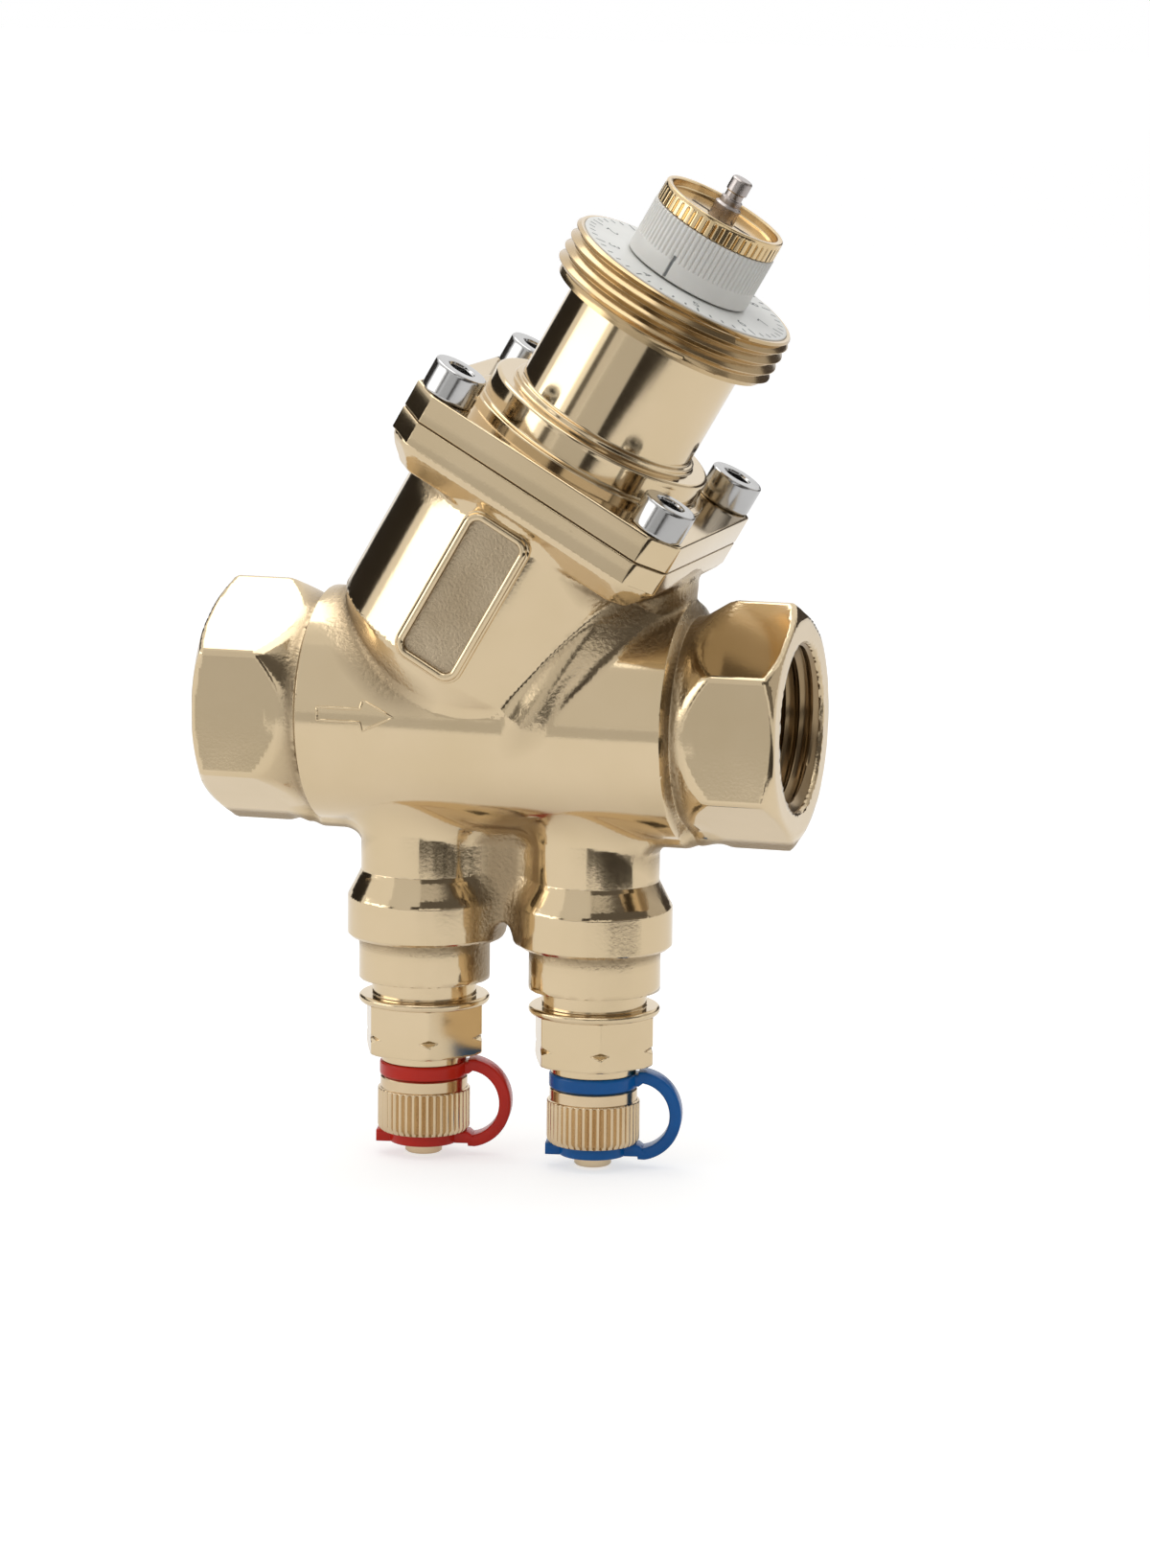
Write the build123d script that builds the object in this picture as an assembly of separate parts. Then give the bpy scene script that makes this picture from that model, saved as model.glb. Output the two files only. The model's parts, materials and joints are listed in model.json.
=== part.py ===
from build123d import *
from math import cos, pi, radians, sin, tan
import os

# Pressure independent control valve of the half inch size, in millimetres.
# X runs along the pipe from the inlet face to the outlet face, Z is up and the
# origin is the centre of the inlet face. Pieces on the bonnet's axis are drawn
# upright about Z, with heights counted from where that axis crosses the pipe's,
# and are then leaned over towards the outlet. Pieces of the test points are drawn
# about Z too, at their real height, and are then moved along the pipe.

# Clearances: running fit, seated fit, room round what only moves past, and a
# gap between two flat faces. A cutter reaches past what it cuts, and a piece
# into what it joins, by the overlap.
run_gap = 0.06
seat_gap = 0.02
free_gap = 0.3
face_gap = 0.05
overlap = 1.0

# Pipe run
face_to_face = 75.0
pipe_radius = 14.8
hex_flats = 27.0
hex_corner_radius = 15.1
hex_length = 12.6
hex_front_angle = 30.0
hex_back_angle = 31.0
neck_radius_behind_hex = 13.2
neck_length = 0.7
pipe_end_rise = 0.8
port_radius = 9.32
port_depth = 14.0
chamber_radius = 10.6
inlet_chamber_end = 44.0
outlet_chamber_start = 34.0

# Barrel, its flange and its partition
lean = 30.0
crossing_x = 27.9
barrel_radius = 17.7
barrel_foot_low = 3.3
barrel_foot_high = 8.5
barrel_foot_radius = 14.0
flange_side = 38.4
flange_corner = 3.3
joint_height = 34.6
body_flange_edge = 2.9
body_flange_slope = 2.0
body_flange_draft = 37.0
partition_low = 6.6
partition_thickness = 3.0
cavity_radius = 13.0
window_space_radius = 14.2
window_space_length = 10.0

# Raised frame on the front of the barrel
frame_width = 8.9
frame_length = 21.2
frame_offset = -0.75
frame_middle = 19.7
frame_proud = 0.6
frame_rim = 0.8
frame_sink = 0.5
frame_corner = 1.4
frame_root = 5.0

# Test bosses and the web between them
test_spacing = 22.4
boss_radius = 8.03
boss_shoulder_top = 20.7
boss_shoulder_low = 23.7
boss_ring_radius = 9.7
boss_ring_low = 29.0
boss_end_radius = 8.25
boss_end = 34.35
web_thickness = 6.0
web_low = 28.0
web_arch_radius = 1.7
rib_low = 15.1
test_bore_depth = 12.0
test_drill_radius = 1.4
test_drill_top = 1.0

# Bonnet
bonnet_flange = 3.8
bonnet_step_radius = 16.0
bonnet_step = 0.8
wall_radius = 14.8
wall_top = 42.6
wall_lip = 0.35
shoulder_radius = 12.4
shoulder_top = 43.3
neck_radius = 11.73
collar_radius = 15.0
collar_low = 56.7
collar_top = 63.2
thread_pitch = 1.5
thread_depth = 0.92
thread_crest = 0.3
thread_turns = 4
thread_first = 57.95
spring_room_radius = 10.2
spring_room_top = 46.0
cup_room_radius = 11.1
bonnet_seal_drop = 4.1
bonnet_seal_section = 1.8

# Flange screws, M4
screw_inset = 3.9
screw_radius = 2.0
screw_length = 8.0
screw_head_radius = 3.45
screw_head_height = 3.9
screw_head_chamfer = 0.35
screw_socket_flats = 3.0
screw_socket_depth = 2.2
screw_hole_gap = 0.25

# Scale disc, dial and lock ring
disc_radius = 14.1
disc_hole_gap = 0.25
disc_thickness = 0.6
disc_proud = 0.15
dial_radius = 8.2
dial_low = 63.6
dial_top = 70.5
dial_ribs_low = 65.9
dial_rib_count = 76
dial_rib_depth = 0.22
dial_wall = 1.3
dial_roof = 1.4
pointer_width = 0.6
pointer_depth = 0.25
pointer_top = 67.3
pointer_turn = -96.7
lock_radius = 8.1
lock_top = 73.05
lock_floor = 71.9
lock_cup_radius = 7.3
lock_groove_count = 50
lock_groove_depth = 0.2
lock_slot_width = 0.8
lock_slot_length = 8.4
lock_slot_depth = 0.6
lock_spigot_length = 4.0

# Setting spindle with its drum
spindle_radius = 5.5
spindle_top_radius = 4.6
spindle_flats = 8.2
spindle_bore = 3.6
spindle_tube_radius = 4.7
spindle_collar_radius = 6.3
spindle_collar_width = 1.2
spindle_seal_height = 53.0
spindle_seal_section = 1.0
drum_radius = 9.0
drum_wall = 1.2
drum_rise = 0.6
drum_top = 22.0
drum_web = 1.5
drum_window_angle = 130.0
spring_ledge = 38.0

# Seat, plug and stem
seat_bore = 5.6
seat_radius = 8.8
seat_lip_width = 0.8
seat_lip_height = 1.2
closing_gap = 0.05
plug_radius = 7.5
plug_thickness = 3.0
plug_hub_radius = 3.0
plug_hub_height = 2.2
plug_seal_inner = 4.9
plug_seal_outer = 7.0
plug_seal_thickness = 1.3
stem_radius = 1.72
stem_entry = 1.6
stem_shoulder = 73.9
stem_upper_radius = 1.4
stem_neck_radius = 1.15
stem_neck_low = 74.7
stem_neck_high = 75.6
stem_head_radius = 1.36
stem_tip = 77.4
stem_tip_chamfer = 0.25
stem_stroke = 2.5
clip_height = 57.0
clip_thickness = 0.8
clip_radius = 3.2
clip_groove = 0.35
stem_spring_radius = 2.7
stem_spring_wire = 0.8
stem_spring_coils = 7
bush_length = 4.0
stem_seal_section = 1.84

# Regulator
sleeve_radius = 12.8
sleeve_bore = 10.4
sleeve_top = 25.0
sleeve_relief_radius = 11.7
sleeve_relief_low = 19.6
window_low = 12.2
window_high = 16.2
window_count = 4
window_angle = 60.0
cup_wall = 0.95
cup_rise = 1.0
cup_web = 1.2
diaphragm_thickness = 0.45
diaphragm_rim_radius = 12.7
diaphragm_fold_low = 21.4
backing_thickness = 0.9
backing_radius = 9.3
regulator_spring_radius = 7.9
regulator_spring_wire = 1.4
regulator_spring_coils = 5
regulator_stroke = 3.0

# Test nipple
shank_radius = 6.6
shank_length = 9.0
nipple_neck = 2.15
nipple_collar_radius = 8.25
nipple_collar = 1.0
nipple_hex_flats = 14.0
nipple_hex_height = 6.3
nipple_hex_turn = 22.5
nipple_hex_chamfer = 0.5
nipple_mark_drop = 4.1
nipple_mark_radius = 7.5
nipple_mark_half_width = 0.35
nipple_throat_radius = 5.36
nipple_throat = 1.3
nipple_spigot_radius = 3.9
nipple_bore = 1.5
nipple_seal_section = 1.0
nipple_seal_drop = 1.6
probe_seal_radius = 2.3
probe_seal_length = 4.0
retainer_length = 2.2
retainer_bore = 1.2

# Cap
cap_plain_radius = 5.5
cap_plain_height = 1.6
cap_knurl_radius = 5.84
cap_knurl_height = 5.5
cap_knurl_count = 40
cap_knurl_depth = 0.3
cap_roof = 1.4
cap_seal_thickness = 0.8
cap_pin_radius = 2.35
cap_pin_height = 2.9

# Strap
strap_ring_height = 1.8
strap_ring_radius = 5.6
strap_thickness = 1.5
strap_width = 3.2
strap_reach = 11.2
strap_loop_middle = 5.75
strap_arm_overlap = 0.4
strap_loop_half_height = 5.7
strap_eye_radius = 4.4
strap_heel = 6.2
strap_turn = 12.0

# Heights and places that follow from the sizes above
test_places = [face_to_face / 2 - test_spacing / 2, face_to_face / 2 + test_spacing / 2]
partition_top = partition_low + partition_thickness
flange_top = joint_height + bonnet_flange
screw_spacing = flange_side - 2 * screw_inset
seat_top = partition_top + seat_lip_height
plug_low = seat_top + stem_stroke + closing_gap
spigot_end = sleeve_top + diaphragm_thickness
cup_room_top = sleeve_top + regulator_stroke + overlap
bonnet_seal_height = joint_height - bonnet_seal_drop
cup_radius = sleeve_bore - run_gap
disc_top = collar_top + disc_proud
lock_low = dial_top + face_gap
lock_spigot_end = lock_low - lock_spigot_length
nipple_collar_top = -boss_end - nipple_neck
nipple_hex_top = nipple_collar_top - nipple_collar
nipple_hex_low = nipple_hex_top - nipple_hex_height
strap_ring_top = nipple_hex_low - nipple_throat - face_gap
cap_top = strap_ring_top - strap_ring_height - face_gap
cap_end = cap_top - cap_plain_height - cap_knurl_height
cap_bore_end = cap_end + cap_roof
nipple_end = cap_bore_end + cap_seal_thickness + face_gap
lean_over = Location((crossing_x, 0, 0), (0, lean, 0))


def turned(*corners):
    """Solid of revolution about Z from its (radius, height) corners."""
    outline = Polyline(*[(radius, 0, height) for radius, height in corners], close=True)
    return revolve(make_face(outline), Axis.Z)


def tube(outer, inner, low, high):
    """Straight ring about Z."""
    return turned((inner, low), (outer, low), (outer, high), (inner, high))


def rod(radius, low, high):
    """Straight round bar about Z."""
    return turned((0, low), (radius, low), (radius, high), (0, high))


def along_pipe(shape):
    """Lay a shape that was drawn about Z along the pipe's axis."""
    return Rot(0, 90, 0) * shape


def hex_bar(flats, low, high, turn=0):
    """Hexagonal bar about Z, a corner towards X before its turn."""
    outline = RegularPolygon(flats / 2, 6, major_radius=False)
    return Pos(0, 0, low) * Rot(0, 0, turn) * extrude(outline, high - low)


def ridged_bar(radius, low, high, count, depth):
    """Bar about Z with straight ridges and V grooves round it."""
    half_step = pi / count
    land = 0.45 * half_step
    points = []
    for ridge in range(count):
        middle = 2 * half_step * ridge
        for reach, angle in ((radius, middle - land), (radius, middle + land), (radius - depth, middle + half_step)):
            points.append((reach * cos(angle), reach * sin(angle)))
    return Pos(0, 0, low) * extrude(make_face(Polyline(*points, close=True)), high - low)


def flange_plate(low, high, slope=0.0):
    """Square plate with cut corners, which narrows downwards if it has a slope."""
    outline = chamfer(Rectangle(flange_side, flange_side).vertices(), flange_corner)
    return Pos(0, 0, high) * extrude(outline, low - high, taper=slope)


def seal_ring(inner_radius, section, height):
    """Sealing ring of round section about Z."""
    return Pos(0, 0, height) * Torus(inner_radius + section / 2, section / 2)


def seal_groove(inner_radius, outer_radius, section, height):
    """Square groove about Z for a sealing ring, with a little side room."""
    half_width = section / 2 + face_gap
    return tube(outer_radius, inner_radius, height - half_width, height + half_width)


def coil_spring(mean_radius, wire, low, high, coils):
    """Helical compression spring that stands between two faces."""
    margin = wire / 2 + face_gap
    rise = high - low - 2 * margin
    path = Helix(rise / coils, rise, mean_radius)
    section = Plane(origin=path @ 0, z_dir=path % 0) * Circle(wire / 2)
    return Pos(0, 0, low + margin) * sweep(section, path, is_frenet=True)


def sector_bar(radius, low, high, angle, middle):
    """Wedge of a bar about Z, to cut a window in a wall."""
    whole = Cylinder(radius, high - low, arc_size=angle, align=(Align.NONE, Align.NONE, Align.MIN))
    return Pos(0, 0, low) * Rot(0, 0, middle - angle / 2) * whole


def hexagon_end():
    """Hexagon of a port, turned to a cone at its face and at its back."""
    half = hex_flats / 2
    front = (hex_corner_radius - half) * tan(radians(hex_front_angle))
    back = (hex_corner_radius - neck_radius_behind_hex) / tan(radians(hex_back_angle))
    blank = turned(
        (0, 0),
        (half, 0),
        (hex_corner_radius, front),
        (hex_corner_radius, hex_length - back),
        (neck_radius_behind_hex, hex_length),
        (0, hex_length),
    )
    return blank & hex_bar(hex_flats, 0, hex_length)


def pipe_run():
    """Round pipe between the two hexagons, with a neck behind each."""
    start = hex_length - overlap
    near = hex_length + neck_length
    far = face_to_face - near
    pipe = turned(
        (0, start),
        (neck_radius_behind_hex, start),
        (neck_radius_behind_hex, near),
        (pipe_radius, near + pipe_end_rise),
        (pipe_radius, far - pipe_end_rise),
        (neck_radius_behind_hex, far),
        (neck_radius_behind_hex, face_to_face - start),
        (0, face_to_face - start),
    )
    far_hexagon = Pos(0, 0, face_to_face) * Rot(180, 0, 0) * hexagon_end()
    return along_pipe(pipe + hexagon_end() + far_hexagon)


def test_boss():
    """Round boss of a test point with its wider ring and turned end."""
    return turned(
        (0, -neck_radius_behind_hex),
        (boss_radius, -neck_radius_behind_hex / 2),
        (boss_radius, -boss_shoulder_top),
        (boss_ring_radius, -boss_shoulder_low),
        (boss_ring_radius, -boss_ring_low),
        (boss_end_radius, -boss_ring_low),
        (boss_end_radius, -boss_end),
        (0, -boss_end),
    )


def underside_web():
    """Cast web between the bosses, arched at its low end, and the rib out to the hexagons."""
    low, high = test_places
    middle = (low + high) / 2
    web = Pos(middle, 0, -web_low / 2) * Box(test_spacing, web_thickness, web_low)
    arch = Pos(middle, 0, -web_low) * Rot(90, 0, 0) * Cylinder(web_arch_radius, 2 * web_thickness)
    rib = Pos(face_to_face / 2, 0, -rib_low / 2) * Box(face_to_face - 2 * hex_length, web_thickness, rib_low)
    return web - arch + rib


def barrel():
    """Leaning barrel with its tapered foot and the flange at its top, upright."""
    round_part = turned(
        (0, barrel_foot_low),
        (barrel_foot_radius, barrel_foot_low),
        (barrel_radius, barrel_foot_high),
        (barrel_radius, joint_height),
        (0, joint_height),
    )
    edge_low = joint_height - body_flange_edge
    slope_low = edge_low - body_flange_slope
    plate = flange_plate(edge_low, joint_height)
    underside = flange_plate(slope_low, edge_low, slope=body_flange_draft)
    return round_part + plate + underside


def raised_frame():
    """Rounded frame with a sunk field on the barrel's front, upright."""
    front = -barrel_radius - frame_proud
    face = Plane(origin=(frame_offset, front, frame_middle), x_dir=(1, 0, 0), z_dir=(0, -1, 0))
    block = extrude(face * RectangleRounded(frame_width, frame_length, frame_corner), -frame_root)
    inner_width = frame_width - 2 * frame_rim
    inner_length = frame_length - 2 * frame_rim
    inner_corner = frame_corner - frame_rim / 2
    field = extrude(face * RectangleRounded(inner_width, inner_length, inner_corner), -frame_sink)
    return block, field


def screw_points():
    """Places of the four flange screws about the bonnet's axis."""
    return GridLocations(screw_spacing, screw_spacing, 2, 2)


def water_ways():
    """Ports, the chamber on each side of the partition, barrel cavity and test bores."""
    port_end = face_to_face - port_depth
    ports = along_pipe(rod(port_radius, 0, port_depth) + rod(port_radius, port_end, face_to_face))
    side = 4 * face_to_face
    below = lean_over * (Pos(0, 0, partition_low - side / 2) * Box(side, side, side))
    above = lean_over * (Pos(0, 0, partition_top + side / 2) * Box(side, side, side))
    inlet = along_pipe(rod(chamber_radius, port_depth, inlet_chamber_end)) & below
    outlet = along_pipe(rod(chamber_radius, outlet_chamber_start, port_end)) & above
    cavity = rod(cavity_radius, partition_top, joint_height)
    cavity += rod(window_space_radius, partition_top, partition_top + window_space_length)
    cavity += rod(seat_radius + seat_gap, partition_low - overlap, partition_top)
    for point in screw_points():
        hole_end = flange_top - screw_length - face_gap
        cavity += point * rod(screw_radius + seat_gap, hole_end, joint_height)
    ways = ports + inlet + outlet + lean_over * cavity
    for place in test_places:
        bore = rod(shank_radius + seat_gap, -boss_end, test_bore_depth - boss_end)
        drill = rod(test_drill_radius, test_bore_depth - boss_end - overlap, test_drill_top)
        ways += Pos(place, 0, 0) * (bore + drill)
    return ways


def valve_body():
    """The one casting: pipe, hexagons, leaning barrel, flange, bosses and web."""
    body = pipe_run()
    for place in test_places:
        body += Pos(place, 0, 0) * test_boss()
    block, field = raised_frame()
    body += underside_web()
    body += lean_over * (barrel() + block - field)
    return body - water_ways()


def bonnet():
    """Turned bonnet: spigot, square flange, ring wall, neck and threaded collar."""
    profile = [
        (spindle_radius + run_gap, spring_room_top),
        (spring_room_radius, spring_room_top),
        (spring_room_radius, cup_room_top),
        (cup_room_radius, cup_room_top),
        (cup_room_radius, spigot_end),
        (cavity_radius - run_gap, spigot_end),
        (cavity_radius - run_gap, joint_height),
        (bonnet_step_radius, joint_height),
        (bonnet_step_radius, flange_top + bonnet_step),
        (wall_radius, flange_top + bonnet_step),
        (wall_radius, wall_top - wall_lip),
        (wall_radius - wall_lip, wall_top),
        (shoulder_radius, wall_top),
        (shoulder_radius, shoulder_top),
        (neck_radius, shoulder_top),
        (neck_radius, collar_low),
    ]
    root_radius = collar_radius - thread_depth
    profile.append((root_radius, collar_low))
    for turn in range(thread_turns):
        crest = thread_first + turn * thread_pitch
        profile.append((root_radius, crest - thread_pitch / 2 + thread_crest / 2))
        profile.append((collar_radius, crest - thread_crest / 2))
        profile.append((collar_radius, crest + thread_crest / 2))
    recess_floor = disc_top - disc_thickness
    recess_radius = disc_radius + seat_gap
    profile += [
        (recess_radius + thread_crest / 2, collar_top),
        (recess_radius, collar_top),
        (recess_radius, recess_floor),
        (spindle_radius + run_gap, recess_floor),
    ]
    solid = turned(*profile) + (flange_plate(joint_height, flange_top) - rod(neck_radius, joint_height, flange_top))
    for point in screw_points():
        solid -= point * rod(screw_radius + screw_hole_gap, joint_height, flange_top)
    groove_floor = cavity_radius - bonnet_seal_section
    return solid - seal_groove(groove_floor, cavity_radius, bonnet_seal_section, bonnet_seal_height)


def bonnet_seal():
    """Ring between the bonnet's spigot and the barrel's cavity."""
    section = bonnet_seal_section - seat_gap
    return seal_ring(cavity_radius - bonnet_seal_section, section, bonnet_seal_height)


def flange_screws():
    """Four socket head screws through the bonnet's flange."""
    head_top = flange_top + screw_head_height
    screw = turned(
        (0, flange_top - screw_length),
        (screw_radius, flange_top - screw_length),
        (screw_radius, flange_top),
        (screw_head_radius, flange_top),
        (screw_head_radius, head_top - screw_head_chamfer),
        (screw_head_radius - screw_head_chamfer, head_top),
        (0, head_top),
    )
    screw -= hex_bar(screw_socket_flats, head_top - screw_socket_depth, head_top)
    return Compound(children=[point * screw for point in screw_points()])


def scale_disc():
    """Thin printed disc in the collar's top."""
    return tube(disc_radius, spindle_radius + disc_hole_gap, disc_top - disc_thickness, disc_top)


def flatted_bar(radius, flats, low, high):
    """Bar about Z with two flats, which keeps the dial from turning on the spindle."""
    middle = (low + high) / 2
    return rod(radius, low, high) & (Pos(0, 0, middle) * Box(4 * radius, flats, high - low))


def setting_spindle():
    """Drum with its window, the tube above it and the flatted end for the dial."""
    drum_low = partition_top + drum_rise
    web_under = drum_top - drum_web
    collar_end = spring_room_top - face_gap
    collar_start = collar_end - spindle_collar_width
    solid = turned(
        (stem_radius + run_gap, web_under),
        (drum_radius - drum_wall, web_under),
        (drum_radius - drum_wall, drum_low),
        (drum_radius, drum_low),
        (drum_radius, drum_top),
        (spindle_tube_radius, drum_top),
        (spindle_tube_radius, collar_start),
        (spindle_collar_radius, collar_start),
        (spindle_collar_radius, collar_end),
        (spindle_radius, collar_end),
        (spindle_radius, dial_low),
        (spindle_bore, dial_low),
        (spindle_bore, spring_ledge),
        (stem_radius + run_gap, spring_ledge),
    )
    top_end = dial_top - face_gap
    solid += flatted_bar(spindle_top_radius, spindle_flats, dial_low, top_end) - rod(spindle_bore, dial_low, top_end)
    window = sector_bar(drum_radius + overlap, window_low, window_high, drum_window_angle, 0)
    window -= rod(drum_radius - 2 * drum_wall, window_low, window_high)
    groove = seal_groove(
        spindle_radius - spindle_seal_section + run_gap,
        spindle_radius,
        spindle_seal_section,
        spindle_seal_height,
    )
    return solid - window - groove


def spindle_seal():
    """Ring in the spindle's groove, against the bonnet's bore."""
    section = spindle_seal_section - face_gap
    return seal_ring(spindle_radius - spindle_seal_section + run_gap, section, spindle_seal_height)


def setting_dial():
    """Hollow moulded dial: smooth skirt, ribbed grip, roof, hub with two flats and pointer groove."""
    skirt = rod(dial_radius, dial_low, dial_ribs_low)
    grip = ridged_bar(dial_radius, dial_ribs_low, dial_top, dial_rib_count, dial_rib_depth)
    hollow = tube(dial_radius - dial_wall, spindle_radius + run_gap, dial_low, dial_top - dial_roof)
    hub_hole = flatted_bar(spindle_top_radius + seat_gap, spindle_flats + 2 * seat_gap, dial_low, dial_top)
    pointer_height = pointer_top - dial_low
    groove = Pos(dial_radius, 0, dial_low + pointer_height / 2) * Box(2 * pointer_depth, pointer_width, pointer_height)
    return skirt + grip - hollow - hub_hole - Rot(0, 0, pointer_turn) * groove


def lock_ring():
    """Knurled cup ring with a screwdriver slot, screwed into the spindle's top."""
    grip = ridged_bar(lock_radius, lock_low, lock_top, lock_groove_count, lock_groove_depth)
    cup = rod(lock_cup_radius, lock_floor, lock_top)
    spigot = rod(spindle_bore - run_gap, lock_spigot_end, lock_low)
    stem_hole = rod(stem_radius + run_gap, lock_spigot_end, lock_top)
    slot = Pos(0, 0, lock_floor - lock_slot_depth / 2) * Box(lock_slot_length, lock_slot_width, lock_slot_depth)
    return grip - cup + spigot - stem_hole - slot


def stem():
    """Stepped pin from the plug up to the head that the actuator takes hold of."""
    low = plug_low + stem_entry
    pin = turned(
        (0, low),
        (stem_radius, low),
        (stem_radius, stem_shoulder),
        (stem_upper_radius, stem_shoulder),
        (stem_upper_radius, stem_neck_low),
        (stem_neck_radius, stem_neck_low),
        (stem_neck_radius, stem_neck_high),
        (stem_head_radius, stem_neck_high),
        (stem_head_radius, stem_tip - stem_tip_chamfer),
        (stem_head_radius - stem_tip_chamfer, stem_tip),
        (0, stem_tip),
    )
    return pin - tube(stem_radius, stem_radius - clip_groove, clip_height, clip_height + clip_thickness)


def spring_clip():
    """Split ring in the stem's groove, which the stem spring pushes against."""
    ring = tube(clip_radius, stem_radius - clip_groove, clip_height, clip_height + clip_thickness)
    mouth_width = 2 * (stem_radius - clip_groove) - 2 * free_gap
    mouth = Pos(clip_radius, 0, clip_height + clip_thickness / 2) * Box(2 * clip_radius, mouth_width, clip_thickness)
    return ring - mouth


def stem_spring():
    """Spring that lifts the stem off the seat."""
    return coil_spring(stem_spring_radius, stem_spring_wire, spring_ledge, clip_height, stem_spring_coils)


def stem_bush():
    """Plain guide bush in the spindle's bore."""
    low = lock_spigot_end - stem_seal_section - 2 * face_gap - bush_length
    return tube(spindle_bore - seat_gap, stem_radius + run_gap, low, low + bush_length)


def stem_seal():
    """Ring between the bush and the lock ring's spigot, round the stem."""
    return seal_ring(stem_radius + seat_gap, stem_seal_section, lock_spigot_end - face_gap - stem_seal_section / 2)


def seat_ring():
    """Seat pressed into the partition, with a raised lip."""
    lip_radius = seat_bore + seat_lip_width
    return turned(
        (seat_bore, partition_low),
        (seat_radius, partition_low),
        (seat_radius, partition_top),
        (lip_radius + seat_lip_width / 2, partition_top),
        (lip_radius, seat_top),
        (seat_bore, seat_top),
    )


def control_plug():
    """Plug disc with a hub for the stem and a groove for its rubber ring."""
    top = plug_low + plug_thickness
    solid = turned(
        (0, plug_low),
        (plug_radius, plug_low),
        (plug_radius, top),
        (plug_hub_radius, top),
        (plug_hub_radius, top + plug_hub_height),
        (0, top + plug_hub_height),
    )
    solid -= rod(stem_radius, plug_low + stem_entry, top + plug_hub_height)
    return solid - plug_seal()


def plug_seal():
    """Flat rubber ring in the plug's face."""
    return tube(plug_seal_outer, plug_seal_inner, plug_low, plug_low + plug_seal_thickness)


def regulator_sleeve():
    """Fixed sleeve round the regulator cup, with windows and a relief for the diaphragm."""
    solid = turned(
        (sleeve_bore, partition_top),
        (sleeve_radius, partition_top),
        (sleeve_radius, sleeve_top),
        (sleeve_relief_radius, sleeve_top),
        (sleeve_relief_radius, sleeve_relief_low),
        (sleeve_bore, sleeve_relief_low),
    )
    return solid - window_cutters(sleeve_radius + overlap, sleeve_bore - cup_wall / 2)


def window_cutters(outer, inner):
    """Cutters for the ring of windows that the sleeve and the cup share."""
    step = 360 / window_count
    cutters = sector_bar(outer, window_low, window_high, window_angle, 0)
    for window in range(1, window_count):
        cutters += sector_bar(outer, window_low, window_high, window_angle, window * step)
    return cutters - rod(inner, window_low, window_high)


def regulator_cup():
    """Moving cup whose windows slide past those of the sleeve."""
    inner = cup_radius - cup_wall
    solid = turned(
        (spindle_tube_radius + run_gap, sleeve_top - cup_web),
        (inner, sleeve_top - cup_web),
        (inner, partition_top + cup_rise),
        (cup_radius, partition_top + cup_rise),
        (cup_radius, sleeve_top),
        (spindle_tube_radius + run_gap, sleeve_top),
    )
    return solid - window_cutters(sleeve_bore + overlap, inner - cup_wall / 2)


def diaphragm():
    """Rolling diaphragm: clamped middle, one downward fold and clamped rim."""
    inner_wall = cup_radius + face_gap
    outer_wall = sleeve_relief_radius - face_gap
    fold_radius = (outer_wall - inner_wall) / 2
    fold_middle = inner_wall + fold_radius
    fold_height = diaphragm_fold_low + fold_radius
    top = sleeve_top + diaphragm_thickness
    flat = tube(inner_wall + diaphragm_thickness, spindle_tube_radius + free_gap, sleeve_top, top)
    rim = tube(diaphragm_rim_radius, outer_wall - diaphragm_thickness, sleeve_top, top)
    legs = tube(outer_wall, inner_wall, fold_height, top)
    legs -= tube(outer_wall - diaphragm_thickness, inner_wall + diaphragm_thickness, fold_height, top)
    fold = Pos(0, 0, fold_height) * Torus(fold_middle, fold_radius)
    fold -= Pos(0, 0, fold_height) * Torus(fold_middle, fold_radius - diaphragm_thickness)
    fold -= tube(outer_wall + overlap, inner_wall - overlap, fold_height, top)
    return flat + rim + legs + fold


def diaphragm_plate():
    """Backing plate that clamps the diaphragm to the cup and seats the spring."""
    low = sleeve_top + diaphragm_thickness
    return tube(backing_radius, spindle_tube_radius + free_gap, low, low + backing_thickness)


def regulator_spring():
    """Spring that pushes the cup open."""
    low = sleeve_top + diaphragm_thickness + backing_thickness
    return coil_spring(
        regulator_spring_radius,
        regulator_spring_wire,
        low,
        spring_room_top,
        regulator_spring_coils,
    )


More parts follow.
